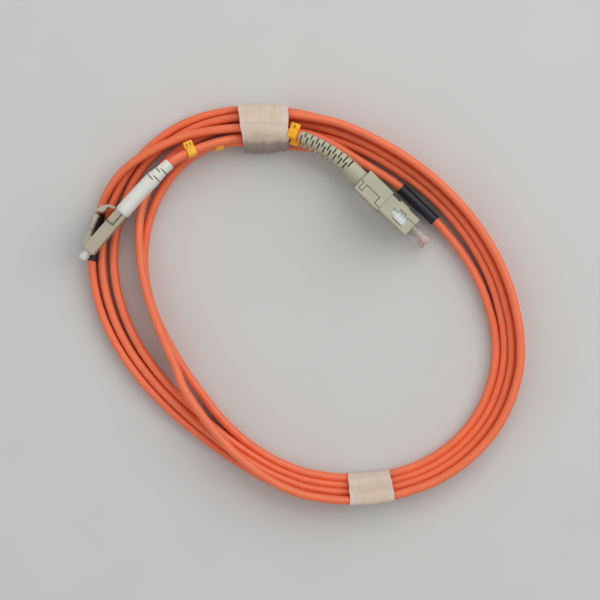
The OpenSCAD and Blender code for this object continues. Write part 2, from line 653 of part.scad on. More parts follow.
// Plug frame: holds the ferrule, ribbed where it shows in the housing's windows
module sc_plug_frame(i) {
    color(milk)
        at_sc(i)
            difference() {
                box(0.2, sc_frame_b, sc_in_w - 0.3, sc_in_h - 0.3);
                rod(-1, 5, 3.7);
                rod(0, 8, sc_ferrule_d + loose);
                rod(sc_shoulder, 20, sc_cavity_d);
                for (b = [3.1, 4.4, 5.7], side = [-1, 1])
                    translate([0, 0, side * (sc_in_h / 2 - 0.15)])
                        box(b, b + 0.5, 10, 0.5);
            }
}
module sc_plug_frame_a() sc_plug_frame(0);
module sc_plug_frame_b() sc_plug_frame(1);

sc_ferrule_b = sc_shoulder + slip + sc_flange_len + 0.1;
module sc_ferrule(i) color(ceramic) at_sc(i) rod(-sc_ferrule_out, sc_ferrule_b, sc_ferrule_d);
module sc_ferrule_a() sc_ferrule(0);
module sc_ferrule_b() sc_ferrule(1);

module sc_flange(i) {
    color(nickel)
        at_sc(i)
            difference() {
                rod(sc_shoulder + slip, sc_shoulder + slip + sc_flange_len, 4.4);
                rod(0, 12, sc_ferrule_d);
            }
}
module sc_flange_a() sc_flange(0);
module sc_flange_b() sc_flange(1);

module sc_spring(i) {
    color(steel)
        at_sc(i)
            spring(sc_shoulder + slip + sc_flange_len, sc_spigot_b, 4.3, 0.5, 4);
}
module sc_spring_a() sc_spring(0);
module sc_spring_b() sc_spring(1);

module sc_back_body(i) {
    color(beige)
        at_sc(i)
            difference() {
                union() {
                    rod(sc_spigot_b, sc_frame_b + 0.2, sc_cavity_d - slip);
                    box(sc_frame_b, sc_len - 1, sc_in_w - 0.2, sc_in_h - 0.2);
                    rod(sc_len - 1 - eps, sc_len - 1 + sc_post, 3.6);
                }
                rod(0, 40, 1.1);
            }
}
module sc_back_body_a() sc_back_body(0);
module sc_back_body_b() sc_back_body(1);

module sc_crimp_sleeve(i) {
    color(nickel)
        at_sc(i)
            difference() {
                rod(sc_len - 0.9, sc_len + 5.9, 4.3);
                rod(sc_len - 1, sc_len - 1 + sc_post, 3.6 + slip);
                rod(sc_len - 1, sc_len + 10, cord_d + loose);
            }
}
module sc_crimp_sleeve_a() sc_crimp_sleeve(0);
module sc_crimp_sleeve_b() sc_crimp_sleeve(1);

module sc_boot(i) {
    bend = sc_boots[i][0];
    arc_stops = [for (k = [0 : 7]) sc_boot_straight + sc_boot_arc * k / 7];
    color(beige)
        at_sc(i)
            rotate([sc_boots[i][1], 0, 0])
                difference() {
                    boot_tube(sc_boot_x, sc_boot_straight, sc_boot_arc, bend, concat([0], arc_stops),
                        sc_boot_d1 / 2, sc_boot_d2 / 2);
                    boot_tube(sc_boot_x, sc_boot_straight, sc_boot_arc, bend,
                        concat([6], arc_stops, [sc_boot_len + 1]), cord_r + loose, cord_r + loose);
                    rod(sc_len - 2, sc_len + 5.8 + loose, 4.4);
                    for (k = [0 : sc_boot_rows - 1])
                        boot_slit(sc_boot_x, sc_boot_straight, sc_boot_arc, bend,
                            sc_boot_straight + sc_boot_arc * (k + 0.5) / (sc_boot_rows + 0.5), 1.75, 1.1);
                }
}
module sc_boot_a() sc_boot(0);
module sc_boot_b() sc_boot(1);

module sc_fiber(i) color(clear) at_sc(i) rod(sc_ferrule_b, sc_len - 1 + sc_post - 1.1, fiber_d);
module sc_fiber_a() sc_fiber(0);
module sc_fiber_b() sc_fiber(1);

// Dust cap: a collar over the ferrule, a thinner stem and a flared, closed end
sc_cap_in = 4.2;
sc_cap_r = 1.75;
sc_stem_r = 1.2;
sc_flare_r = 2;
sc_cap_bore = sc_ferrule_d / 2 + 0.04;
sc_bore_end = sc_ferrule_out + 0.3;
sc_collar = sc_bore_end + 0.3;
module sc_dust_cap(i) {
    color(clear)
        at_sc(i)
            rotate([0, 90, 0])
                rotate_extrude()
                    polygon([[sc_cap_bore, -sc_cap_in], [sc_cap_r, -sc_cap_in], [sc_cap_r, sc_collar],
                        [sc_stem_r, sc_collar + 0.4], [sc_stem_r, sc_cap_len - 2.6],
                        [sc_flare_r, sc_cap_len - 0.4], [sc_flare_r, sc_cap_len], [0, sc_cap_len],
                        [0, sc_bore_end], [sc_cap_bore, sc_bore_end]]);
}
module sc_dust_cap_a() sc_dust_cap(0);
module sc_dust_cap_b() sc_dust_cap(1);

// The two halves of the clip meet half-way up; a rib on the lower one enters the upper one
rib_w = 1.2;
rib_h = 0.9;
clip_z = sc_clip_h / 2;
module clip_half(i) {
    out = i == 0 ? 1 : -1;
    at_sc(i)
        difference() {
            translate([0, 0, out * (sc_h / 2 + seat + sc_clip_wall - clip_z / 2)])
                box(sc_len - sc_clip_len, sc_len, sc_clip_w, clip_z);
            box(0, 40, sc_w + 2 * seat, sc_h + 2 * seat);
            children();
        }
}

module sc_clip_upper() {
    color(beige)
        clip_half(0) {
            translate([0, 0, -sc_pitch / 2])
                box(0, 40, rib_w + 2 * seat, 2 * (rib_h + seat));
            translate([0, 0, sc_h / 2 + seat + sc_clip_wall]) {
                profile([[16.2, -1.3], [16.2, -0.9], [22.6, -0.9], [22.6, 4], [23, 4], [23, -1.3]], 0.4);
            }
        }
}

module sc_clip_lower() {
    color(beige) {
        clip_half(1);
        at_sc(1)
            translate([0, 0, sc_pitch / 2])
                box(sc_len - sc_clip_len, sc_len, rib_w, 2 * rib_h);
    }
}

duplex_cord();
lc_leg_a();
lc_leg_b();
sc_leg_a();
sc_leg_b();
lc_split_sleeve();
sc_split_sleeve();
lc_marker_a();
lc_marker_b();
sc_marker_a();
sc_marker_b();
top_tape();
bottom_tape();
lc_housing_a();
lc_housing_b();
lc_latch_a();
lc_latch_b();
lc_ferrule_a();
lc_ferrule_b();
lc_flange_a();
lc_flange_b();
lc_spring_a();
lc_spring_b();
lc_back_body_a();
lc_back_body_b();
lc_crimp_sleeve_a();
lc_crimp_sleeve_b();
lc_boot_a();
lc_boot_b();
lc_fiber_a();
lc_fiber_b();
lc_dust_cap_a();
lc_dust_cap_b();
lc_duplex_clip();
lc_trigger();
sc_housing_a();
sc_housing_b();
sc_plug_frame_a();
sc_plug_frame_b();
sc_ferrule_a();
sc_ferrule_b();
sc_flange_a();
sc_flange_b();
sc_spring_a();
sc_spring_b();
sc_back_body_a();
sc_back_body_b();
sc_crimp_sleeve_a();
sc_crimp_sleeve_b();
sc_boot_a();
sc_boot_b();
sc_fiber_a();
sc_fiber_b();
sc_dust_cap_a();
sc_dust_cap_b();
sc_clip_upper();
sc_clip_lower();
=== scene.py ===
import math

import bpy
from mathutils import Matrix, Vector


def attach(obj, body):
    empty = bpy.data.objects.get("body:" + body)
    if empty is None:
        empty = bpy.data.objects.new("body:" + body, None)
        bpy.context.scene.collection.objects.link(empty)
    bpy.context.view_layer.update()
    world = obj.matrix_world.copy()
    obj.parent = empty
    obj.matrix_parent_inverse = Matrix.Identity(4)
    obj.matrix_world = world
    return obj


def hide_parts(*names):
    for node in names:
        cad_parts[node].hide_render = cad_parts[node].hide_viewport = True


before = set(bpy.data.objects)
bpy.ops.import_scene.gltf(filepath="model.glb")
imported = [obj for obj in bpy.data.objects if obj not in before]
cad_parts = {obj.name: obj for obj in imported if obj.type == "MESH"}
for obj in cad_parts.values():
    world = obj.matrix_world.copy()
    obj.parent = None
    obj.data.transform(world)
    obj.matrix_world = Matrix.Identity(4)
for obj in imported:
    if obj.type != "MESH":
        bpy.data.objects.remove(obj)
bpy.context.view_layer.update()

bl_info = {
    "name": "Fiber Patch Cord",
    "version": (1, 0, 0),
    "blender": (4, 5, 0),
    "location": "View3D > Sidebar > Patch Cord",
    "description": "Dresses a coiled duplex fiber patch cord: jacket, plugs, boots, caps, rings and tape",
    "category": "Object",
}

ROOT = "cord_set"
MM = 0.001

# ---------------------------------------------------------------- the coil's route, in millimetres
# From the middle of the coil to the frame's origin
ORIGIN = (-17.79, 0.65)
CORD_D, CORD_PITCH = 3.0, 3.1
CORD_R, CORD_H = CORD_D / 2, CORD_D + CORD_PITCH
LANE_0, LANE_1, LANE_2, LANE_3 = 1.5, 4.6, 7.7, 11.2
UPPER, WEDGE, END_LIFT = 6.55, 1.6, 0.8
START_ANGLE, END_ANGLE = 57, 4 * 360 + 282
TAPE_ANGLES = (347, 160)

# Angle, inward distance of the cord from the coil's edge, height
LANE_TABLE = [
    (57, 12, END_LIFT), (68, 12, END_LIFT), (84, 11.4, 0), (200, LANE_3, 0), (210, 11.6, 0), (225, 13.3, 0),
    (245, 17.4, 0), (260, 20.3, 0), (270, 21.4, 0), (284, 21.8, 0), (294, 21.3, 0), (302, 20, 0), (312, 17.1, 0),
    (322, 14.5, 0), (332, 12.9, 0), (342, 12.1, 0), (352, 10.8, 0), (362, 9.1, 0), (371, 7.9, 0),
    (378, LANE_2, 0), (575, 7.8, 0), (600, 8.9, 0), (630, 10, 0), (648, 9.9, 0), (658, 8.9, 0), (668, 8.7, 0),
    (675, 6.4, 0), (681, 5.05, 0), (690, 5.05, 0.4), (707, 5.05, UPPER), (711, 5.1, UPPER), (719, 1.6, UPPER),
    (723, LANE_0, UPPER), (895, LANE_0, UPPER), (903, 1.7, 8.35), (918, 2, 8.35), (930, 3.9, 8.35),
    (940, 6.3, 8.35), (950, 9.2, 8.3), (960, 12.4, 7.8), (970, 15.8, 6.9), (980, 18.6, 6.6), (992, 20.2, 6.6),
    (1002, 20.3, 6.6), (1011, 18.8, 6.6), (1020, 16.6, 5.9), (1030, 12.9, 1.2), (1036, 11.6, 0),
    (1044, 10.4, 0), (1054, 9, 0), (1062, 8.5, 0), (1071, 7.1, 0), (1081, 5.2, 0.7), (1090, LANE_1, WEDGE),
    (1296, LANE_1, WEDGE), (1306, 5.1, WEDGE), (1322, 5.1, 0), (1350, 5.9, 0), (1363, 6.2, 0), (1376, 5.4, 0),
    (1388, 5.3, 0), (1393, 3.2, 0), (1401, LANE_0, 0), (1409, LANE_0, 0), (1702, LANE_0, 0),
    (1712, LANE_0, END_LIFT), (1722, LANE_0, END_LIFT),
]
# How the lanes draw together where the soft turns press on each other
SNUG = [(0, 0), (LANE_0, 1.4), (LANE_1, 4.15), (LANE_2, 6.8), (LANE_3, 9.6), (14, 13.4), (40, 39.8)]

# How far the tied bundle wanders inwards from its plain outline: angle, at its outer side, at its inner side
SWAY = [(60, 0, 0), (90, 0.2, 0.6), (105, -0.5, 0), (120, -0.1, -0.2), (135, 0.6, -0.2), (150, 0.9, -0.2),
        (160, 0.5, -0.3), (170, -0.3, -0.8), (180, -1, -1.4), (190, -0.8, -1.4), (200, -0.2, -1), (215, 0.2, -0.3),
        (230, 0, 0)]
# Two turns lie looser: angle along the cord, distance inwards
NUDGE = [(600, 0), (615, 0.4), (630, 1), (650, 1.2), (662, 0.8), (672, 0), (905, 0), (925, 1.1), (940, 1.6), (955, 1.7),
         (970, 1.6), (1000, 1.5), (1008, 1.2), (1015, 0.6), (1022, 0)]


def between(table, x, column=1):
    """The table's value at x, on a straight line between its rows."""
    if x <= table[0][0]:
        return table[0][column]
    for low, high in zip(table, table[1:]):
        if x <= high[0]:
            return low[column] + (high[column] - low[column]) * (x - low[0]) / (high[0] - low[0])
    return table[-1][column]


def blended(angle, column):
    steps = [-12, -8, -4, 0, 4, 8, 12]
    return sum(between(LANE_TABLE, angle + s, column) for s in steps) / len(steps)


def cosd(angle):
    return math.cos(math.radians(angle))


def sind(angle):
    return math.sin(math.radians(angle))


def edge_radius(a):
    return (73.8 + 2.0 * cosd(a - 40) + 9.9 * cosd(2 * (a + 55.5)) + 0.5 * cosd(3 * (a - 48))
            + 0.5 * cosd(4 * (a - 31)))


def tape_lift(a):
    lift = 0
    for t in TAPE_ANGLES:
        away = abs((a - t + 180) % 360 - 180)
        lift += cosd(min(4 * max(away - 10, 0), 90)) ** 2
    return 0.5 * lift


def spot(x, y, z):
    """A point given from the middle of the coil, in millimetres, as a point of the frame, in metres."""
    return Vector(((x - ORIGIN[0]) * MM, (y - ORIGIN[1]) * MM, z * MM))


def ring_spot(a, inward, z, lifted=True):
    r = edge_radius(a) - inward
    return spot(r * sind(a), r * cosd(a), z + (tape_lift(a) if lifted else 0))


def wander(a, inward):
    outer, inner = between(SWAY, a % 360, 1), between(SWAY, a % 360, 2)
    return outer + (inner - outer) * min(max(inward, 0) / 12, 1)


def cord_spot(a):
    inward = blended(a, 1)
    free = min(max((a - 62) / 40, 0), 1) * min(max((1700 - a) / 30, 0), 1)
    inward += (between(SNUG, inward) - inward) * free
    return ring_spot(a, inward + wander(a, inward) + between(NUDGE, a), blended(a, 2))


def heading(a):
    way = ring_spot(a + 1, 0, 0, False) - ring_spot(a - 1, 0, 0, False)
    return way.normalized()


LEAD, SPLIT_AT, SLEEVE_LEN = 0.1, 9.6, 17.2
LC_WAY = -heading(START_ANGLE - 7)
SC_WAY = heading(END_ANGLE + 7)
LC_SPLIT = cord_spot(START_ANGLE) + SPLIT_AT * MM * LC_WAY
SC_SPLIT = cord_spot(END_ANGLE) + SPLIT_AT * MM * SC_WAY

# ---------------------------------------------------------------- the plugs' places
LC_TURN, SC_TURN = -131.0, -44.3
LC_PLACES = [(-77.8, 19.7, 16.65), (-77.8, 19.7, 10.4)]
SC_PLACES = [(38.8, 28.0, 17.75), (38.8, 28.0, 5.05)]
LC_BOOT = dict(x=-18.4, straight=6.2, arc=18.8)
SC_BOOT = dict(x=-24.0, straight=7.0, arc=21.8)
LC_BENDS = [(8.4, 180), (8.4, 180)]
SC_BENDS = [(25.4, 26.5), (40.3, -41.8)]


def plug_frame(place, turn):
    """Matrix from a plug's own millimetres, +X towards its tip, to the frame."""
    return Matrix.Translation(spot(*place)) @ Matrix.Rotation(math.radians(turn), 4, "Z") @ Matrix.Scale(MM, 4)


LC_FRAMES = [plug_frame(p, LC_TURN) for p in LC_PLACES]
SC_FRAMES = [plug_frame(p, SC_TURN) for p in SC_PLACES]


def boot_frame(boot, bend, s):
    """Matrix at s millimetres along a boot: its own X runs backwards along the boot."""
    turn, roll = bend
    if s <= boot["straight"]:
        at, a = Vector((boot["x"] - s, 0, 0)), 0
    else:
        r = boot["arc"] / math.radians(turn)
        a = (s - boot["straight"]) / r
        at = Vector((boot["x"] - boot["straight"] - r * math.sin(a), -r * (1 - math.cos(a)), 0))
    return Matrix.Rotation(math.radians(roll), 4, "X") @ Matrix.Translation(at) @ Matrix.Rotation(a + math.pi, 4, "Z")


LC_SPOTS = [
    [(321, 12.6, 15), (327, 12.6, 13.5), (332, 12.5, 12.3), (338, 12.2, 10.8), (341.5, 12.1, 9.8),
     (344.5, 12, 8.7), (347.5, 11.4, 7.8), (351, 10.2, 7.7), (355, 8.8, 7.75), (359.5, 8.1, 7.85),
     (364, 8.1, 7.85), (369, 8.8, 7.75), (374.5, 9.9, 7.4), (380, 10.7, 6.7), (387, 11.1, 5.8)],
    [(322, 13.1, 9.8), (329, 13.3, 8.5), (335.5, 13.2, 7.8), (341, 14, 7.3), (347, 15.3, 4.7), (354, 14, 2.2),
     (362, 12.6, 1.7), (371, 11.3, 1.6), (379, 11.15, 1.7), (387, 10.8, 2)]]
SC_SPOTS = [
    [(350.5, 9, 13.8), (344, 8.7, 13.1), (338, 8.4, 12.5), (332, 7.8, 12.1), (326, 6.7, 11.6), (320, 5.7, 11.3),
     (314, 4.4, 11), (309, 2.9, 10.4), (304, 1.7, 7.9)],
    [(350.5, 10.2, 10.9), (344, 9, 9.9), (338, 8.6, 9.4), (332, 7.9, 9), (326, 6.7, 8.5), (320, 5.7, 8.2),
     (314, 4.4, 7.9), (309, 2.9, 7.3), (304, 1.7, 4.8)]]
MARKER_LEN = 3.4
LC_PITCH = LC_PLACES[0][2] - LC_PLACES[1][2]
SLIT_REACH = 98     # degrees to each side of a slit's middle
COIL_CENTRE = (-1.45, 2.18)
EYE_HEIGHT = 1000


def leg_spots(i, lc):
    """Points of a free cord, from inside its boot to the end of the zip cord."""
    boot, bend, plug = (LC_BOOT, LC_BENDS[i], LC_FRAMES[i]) if lc else (SC_BOOT, SC_BENDS[i], SC_FRAMES[i])
    post = 3.2 if lc else 4.0
    long = boot["straight"] + boot["arc"]
    stops = [post, boot["straight"]] + [boot["straight"] + boot["arc"] * k / 5 for k in range(1, 6)]
    points = [plug @ boot_frame(boot, bend, s).to_translation() for s in stops]
    back = (plug @ boot_frame(boot, bend, long)).to_3x3() @ Vector((1, 0, 0))
    points.append(points[-1] + back * (MARKER_LEN + 1))
    points += [ring_spot(*p) for p in (LC_SPOTS if lc else SC_SPOTS)[i]]
    split, way = (LC_SPLIT, LC_WAY) if lc else (SC_SPLIT, SC_WAY)
    rise = Vector((0, 0, (CORD_R + CORD_PITCH if i == 0 else CORD_R) * MM))
    points += [split + way * (SLEEVE_LEN + LEAD - SPLIT_AT + CORD_D) * MM + rise, split + rise]
    return points


def smooth_route(points, step=0.8 * MM):
    """A rounded route through the points, about a step apart."""
    route = []
    for k in range(len(points) - 1):
        a, b = points[k], points[k + 1]
        before = points[k - 1] if k else a * 2 - b
        after = points[k + 2] if k + 2 < len(points) else b * 2 - a
        n = max(2, round((b - a).length / step))
        # tangents scaled to the span keep the curve from swinging wide on uneven spacing
        ta = (b - before).normalized() * (b - a).length
        tb = (after - a).normalized() * (b - a).length
        for j in range(n):
            t = j / n
            route.append(a * (2 * t ** 3 - 3 * t ** 2 + 1) + ta * (t ** 3 - 2 * t ** 2 + t)
                         + b * (3 * t ** 2 - 2 * t ** 3) + tb * (t ** 3 - t ** 2))
    route.append(points[-1].copy())
    # a round jacket can't turn a corner: even the bends out over a few millimetres
    for _ in range(3):
        route = [p if k < 4 or k > len(route) - 5 else sum(route[k - 4:k + 5], Vector()) / 9
                 for k, p in enumerate(route)]
    return route


# ---------------------------------------------------------------- finishes
def linear(colour):
    """sRGB 0-255 to the shader's own numbers."""
    return tuple(((c / 255 + 0.055) / 1.055) ** 2.4 if c > 10 else c / 255 / 12.92 for c in colour) + (1.0,)


def new_finish(name):
    finish = bpy.data.materials.new(name)
    finish.use_nodes = True
    nodes = finish.node_tree.nodes
    return finish, nodes, finish.node_tree.links, nodes["Principled BSDF"]


def tinted(nodes, links, shader, colour, spread, size):
    """Base colour that drifts a little, lighter and darker, over patches of this size in metres."""
    place = nodes.new("ShaderNodeTexCoord")
    patches = nodes.new("ShaderNodeTexNoise")
    patches.inputs["Scale"].default_value = 1 / size
    patches.inputs["Detail"].default_value = 3.0
    ramp = nodes.new("ShaderNodeValToRGB")
    low, high = ramp.color_ramp.elements
    low.position, high.position = 0.3, 0.7
    low.color = tuple(c * (1 - spread) for c in colour[:3]) + (1,)
    high.color = tuple(min(c * (1 + spread), 1) for c in colour[:3]) + (1,)
    links.new(place.outputs["Object"], patches.inputs["Vector"])
    links.new(patches.outputs["Fac"], ramp.inputs["Fac"])
    links.new(ramp.outputs["Color"], shader.inputs["Base Color"])
    return place


def grained(nodes, links, shader, place, size, height, strength=0.4):
    """Fine bumps of this size and height, in metres."""
    grain = nodes.new("ShaderNodeTexNoise")
    grain.inputs["Scale"].default_value = 1 / size
    grain.inputs["Detail"].default_value = 2.0
    bump = nodes.new("ShaderNodeBump")
    bump.inputs["Strength"].default_value = strength
    bump.inputs["Distance"].default_value = height
    links.new(place.outputs["Object"], grain.inputs["Vector"])
    links.new(grain.outputs["Fac"], bump.inputs["Height"])
    links.new(bump.outputs["Normal"], shader.inputs["Normal"])
    return grain


def moulding(name, colour, rough=0.45, spread=0.05, patch=4 * MM, grain=0.25 * MM, height=0.02 * MM, soft=0.0):
    """Moulded plastic or jacket: faint flow marks in the colour and a fine skin."""
    finish, nodes, links, shader = new_finish(name)
    place = tinted(nodes, links, shader, linear(colour), spread, patch)
    skin = grained(nodes, links, shader, place, grain, height)
    shine = nodes.new("ShaderNodeMapRange")
    shine.inputs["To Min"].default_value = rough - 0.06
    shine.inputs["To Max"].default_value = rough + 0.06
    links.new(skin.outputs["Fac"], shine.inputs["Value"])
    links.new(shine.outputs["Result"], shader.inputs["Roughness"])
    if soft:
        shader.inputs["Subsurface Weight"].default_value = soft
        shader.inputs["Subsurface Scale"].default_value = 0.5 * MM
    return finish


def clear_plastic(name, colour, rough=0.2, through=0.6):
    """Clear or milky plastic: light passes, tinted, and the skin keeps its gloss."""
    finish, nodes, links, shader = new_finish(name)
    tinted(nodes, links, shader, linear(colour), 0.04, 2 * MM)
    shader.inputs["Roughness"].default_value = rough
    shader.inputs["IOR"].default_value = 1.48
    shader.inputs["Transmission Weight"].default_value = through
    return finish


def metal(name, colour, rough):
    finish, nodes, links, shader = new_finish(name)
    place = tinted(nodes, links, shader, linear(colour), 0.06, 1 * MM)
    grained(nodes, links, shader, place, 0.15 * MM, 0.01 * MM, 0.3)
    shader.inputs["Metallic"].default_value = 1.0
    shader.inputs["Roughness"].default_value = rough
    return finish


def creped_tape(name, colour, tail_shade_from, tail_shade_colour, crease_shade_at):
    """Masking tape, by the band's own map: u runs over its width, v from the outer side of the bundle inwards.
    Fine crepe lines follow the winding, the edges are paler, the top band has a line of painted shade where it bends
    down off the upper cords, and painted shade greys the inner side and the free tail, where the band slopes down away
    from the light."""
    finish, nodes, links, shader = new_finish(name)
    uv = nodes.new("ShaderNodeUVMap")
    parts = nodes.new("ShaderNodeSeparateXYZ")
    links.new(uv.outputs["UV"], parts.inputs["Vector"])

    def lines(across, along, detail):
        stretch = nodes.new("ShaderNodeMapping")
        stretch.inputs["Scale"].default_value = (across, along, 1)
        noise = nodes.new("ShaderNodeTexNoise")
        noise.inputs["Scale"].default_value = 1.0
        noise.inputs["Detail"].default_value = detail
        links.new(uv.outputs["UV"], stretch.inputs["Vector"])
        links.new(stretch.outputs["Vector"], noise.inputs["Vector"])
        return noise

    def graph(channel, *points):
        """A curve of 0 to 1 over one channel of the map, by its points."""
        curve = nodes.new("ShaderNodeValToRGB")
        ramp = curve.color_ramp
        while len(ramp.elements) < len(points):
            ramp.elements.new(0.5)
        for element, (at, value) in zip(ramp.elements, points):
            element.position, element.color = at, (value, value, value, 1)
        links.new(parts.outputs[channel], curve.inputs["Fac"])
        return curve

    def mixed(below, above, amount, how="MIX"):
        mix = nodes.new("ShaderNodeMix")
        mix.data_type, mix.blend_type = "RGBA", how
        for socket, value in ((mix.inputs[0], amount), (mix.inputs[6], below), (mix.inputs[7], above)):
            if isinstance(value, (tuple, float)):
                socket.default_value = value
            else:
                links.new(value, socket)
        return mix.outputs[2]

    fine, broad, blots = lines(46, 7, 4.0), lines(15, 2.2, 2.0), lines(5, 5, 3.0)
    shade = mixed(linear(colour), tuple(0.84 * c for c in linear(colour)[:3]) + (1.0,), fine.outputs["Fac"])
    shade = mixed(shade, tuple(min(1.18 * c, 1) for c in linear(colour)[:3]) + (1.0,), broad.outputs["Fac"])
    paler = graph("X", (0, 0.9), (0.03, 0.75), (0.1, 0.55), (0.14, 0), (0.85, 0), (0.89, 0.6), (0.96, 0.8), (1, 0.95))
    shade = mixed(shade, linear((226, 203, 196)), paler.outputs["Color"])
    # painted shade: a thin darker line across the band where it bends down off the upper cords
    if crease_shade_at:
        step = graph("Y", (0, 0), (crease_shade_at - 0.02, 0), (crease_shade_at, 0.22), (crease_shade_at + 0.02, 0), (1, 0))
        shade = mixed(shade, linear((150, 132, 118)), step.outputs["Color"])
    # painted shade: the band's inner side and free tail, sloping down away from the light, blend towards the greyer
    # colour
    tail_shade = graph("Y", (0, 0), (tail_shade_from, 0), (tail_shade_from + 0.08, 0.85), (1, 1))
    shade = mixed(shade, linear(tail_shade_colour), tail_shade.outputs["Color"])
    shade = mixed(shade, (0.86, 0.84, 0.83, 1.0), blots.outputs["Fac"], "MULTIPLY")
    links.new(shade, shader.inputs["Base Color"])
    bump = nodes.new("ShaderNodeBump")
    bump.inputs["Strength"].default_value = 0.8
    bump.inputs["Distance"].default_value = 0.12 * MM
    links.new(fine.outputs["Fac"], bump.inputs["Height"])
    links.new(bump.outputs["Normal"], shader.inputs["Normal"])
    shader.inputs["Roughness"].default_value = 0.7
    return finish


FINISHES = {}


def byte(colour):
    return tuple(255 * v for v in colour)


def finish_of(name):
    """The finishes, each made once, from the colours in the panel."""
    if name not in FINISHES:
        s = bpy.context.scene.patch_cord
        made = {
            "orange_jacket": lambda: moulding("orange_jacket", byte(s.jacket_colour), 0.38, 0.05, 6 * MM, 0.3 * MM,
                                              0.015 * MM, 0.05),
            "beige_plastic": lambda: moulding("beige_plastic", byte(s.plug_colour), 0.42, 0.05),
            "lc_plastic": lambda: moulding("lc_plastic", (177, 167, 145), 0.42, 0.05),
            "boot_plastic": lambda: moulding("boot_plastic", byte(s.plug_colour), 0.5, 0.06),
            "white_plastic": lambda: moulding("white_plastic", byte(s.boot_colour), 0.45, 0.03, soft=0.1),
            "frame_plastic": lambda: moulding("frame_plastic", (222, 230, 234), 0.35, 0.03, soft=0.1),
            "yellow_ring": lambda: moulding("yellow_ring", byte(s.ring_colour), 0.4, 0.1, 1.5 * MM),
            "black_shrink": lambda: moulding("black_shrink", (22, 26, 41), 0.5, 0.12, 2 * MM, 0.8 * MM, 0.05 * MM),
            "milky_cap": lambda: clear_plastic("milky_cap", (236, 236, 230), 0.3, 0.25),
            "clear_cap": lambda: clear_plastic("clear_cap", (232, 218, 213), 0.22, 0.75),
            "zirconia": lambda: moulding("zirconia", (240, 240, 236), 0.15, 0.02, 2 * MM, 0.1 * MM, 0.004 * MM),
            "nickel_plate": lambda: metal("nickel_plate", (200, 200, 202), 0.28),
            "spring_steel": lambda: metal("spring_steel", (160, 160, 165), 0.35),
            "buffered_fiber": lambda: clear_plastic("buffered_fiber", (216, 200, 190), 0.3, 0.3),
            # the grey colours given here are painted shade: each band's inner side and tail, and on the top band a line
            # at its bend
            "tape_top": lambda: creped_tape("tape_top", byte(s.tape_colour), 0.76, (152, 142, 134), 0.41),
            "tape_low": lambda: creped_tape("tape_low", byte(s.tape_colour), 0.74, (214, 195, 183), 0),
            # painted shade: the dark finish of seams and slit floors stands in for the shadow down in them
            "seam_shadow": lambda: moulding("seam_shadow", (84, 82, 70), 0.7, 0.1),
        }
        FINISHES[name] = made[name]()
    return FINISHES[name]


# ---------------------------------------------------------------- modelling helpers
def deselect():
    if bpy.context.object and bpy.context.object.mode != "OBJECT":
        bpy.ops.object.mode_set(mode="OBJECT")
    bpy.ops.object.select_all(action="DESELECT")


def choose(piece):
    deselect()
    piece.select_set(True)
    bpy.context.view_layer.objects.active = piece


def settle(piece, place=None):
    """Puts the piece's place into its mesh, so that its object stands at the origin."""
    choose(piece)
    bpy.ops.object.transform_apply(location=True, rotation=True, scale=True)
    if place is not None:
        piece.data.transform(place)
        piece.data.update()


def face_outwards(piece):
    choose(piece)
    bpy.ops.object.mode_set(mode="EDIT")
    bpy.ops.mesh.select_all(action="SELECT")
    bpy.ops.mesh.normals_make_consistent(inside=False)
    bpy.ops.object.mode_set(mode="OBJECT")


def finish_piece(piece, name, finish, body, nodes, angle):
    """Names, shades and places the piece. One that has its finishes already keeps them."""
    piece.name = name
    piece.data.name = name
    if not piece.data.materials:
        piece.data.materials.append(finish_of(finish))
    choose(piece)
    bpy.ops.object.shade_smooth_by_angle(angle=math.radians(angle))
    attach(piece, body)
    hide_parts(*nodes)


def drawn_tube(name, points, radius, outline=None, sizes=None, sides=16):
    """A tube drawn along a route, round or with an outline given in metres, made a mesh."""
    deselect()
    route = bpy.data.curves.new(name, "CURVE")
    route.dimensions = "3D"
    route.twist_mode = "Z_UP"
    route.use_fill_caps = True
    spline = route.splines.new("POLY")
    spline.points.add(len(points) - 1)
    for k, p in enumerate(points):
        spline.points[k].co = (*p, 1)
        spline.points[k].radius = sizes[k] if sizes else 1.0
    if outline is None:
        route.bevel_depth = radius
        route.bevel_resolution = max(0, sides // 2 - 2)
    else:
        shape = bpy.data.curves.new(name + "_outline", "CURVE")
        loop = shape.splines.new("POLY")
        loop.points.add(len(outline) - 1)
        for k, p in enumerate(outline):
            loop.points[k].co = (p[0], p[1], 0, 1)
        loop.use_cyclic_u = True
        holder = bpy.data.objects.new(name + "_outline", shape)
        bpy.context.collection.objects.link(holder)
        route.bevel_mode = "OBJECT"
        route.bevel_object = holder
    piece = bpy.data.objects.new(name, route)
    bpy.context.collection.objects.link(piece)
    choose(piece)
    bpy.ops.object.convert(target="MESH")
    piece = bpy.context.object
    if outline is not None:
        bpy.data.objects.remove(holder)
    bpy.ops.object.mode_set(mode="EDIT")
    bpy.ops.mesh.select_all(action="SELECT")
    bpy.ops.mesh.remove_doubles(threshold=1e-6)
    bpy.ops.mesh.normals_make_consistent(inside=False)
    bpy.ops.object.mode_set(mode="OBJECT")
    return piece


def turned(name, stations, sides=32):
    """A round bar along X: rings of (x, radius) in millimetres, extruded one from the other, closed at both ends."""
    deselect()
    x, r = stations[0]
    bpy.ops.mesh.primitive_circle_add(vertices=sides, radius=r, fill_type="NGON",
                                      location=(x, 0, 0), rotation=(0, math.pi / 2, 0))
    piece = bpy.context.object
    bpy.ops.object.mode_set(mode="EDIT")
    bpy.ops.mesh.select_all(action="SELECT")
    for nx, nr in stations[1:]:
        bpy.ops.mesh.extrude_region_move(TRANSFORM_OT_translate={"value": (nx - x, 0, 0)})
        bpy.ops.transform.resize(value=(nr / r,) * 3, center_override=(nx, 0, 0))
        x, r = nx, nr
    face_outwards(piece)
    piece.name = name
    return piece


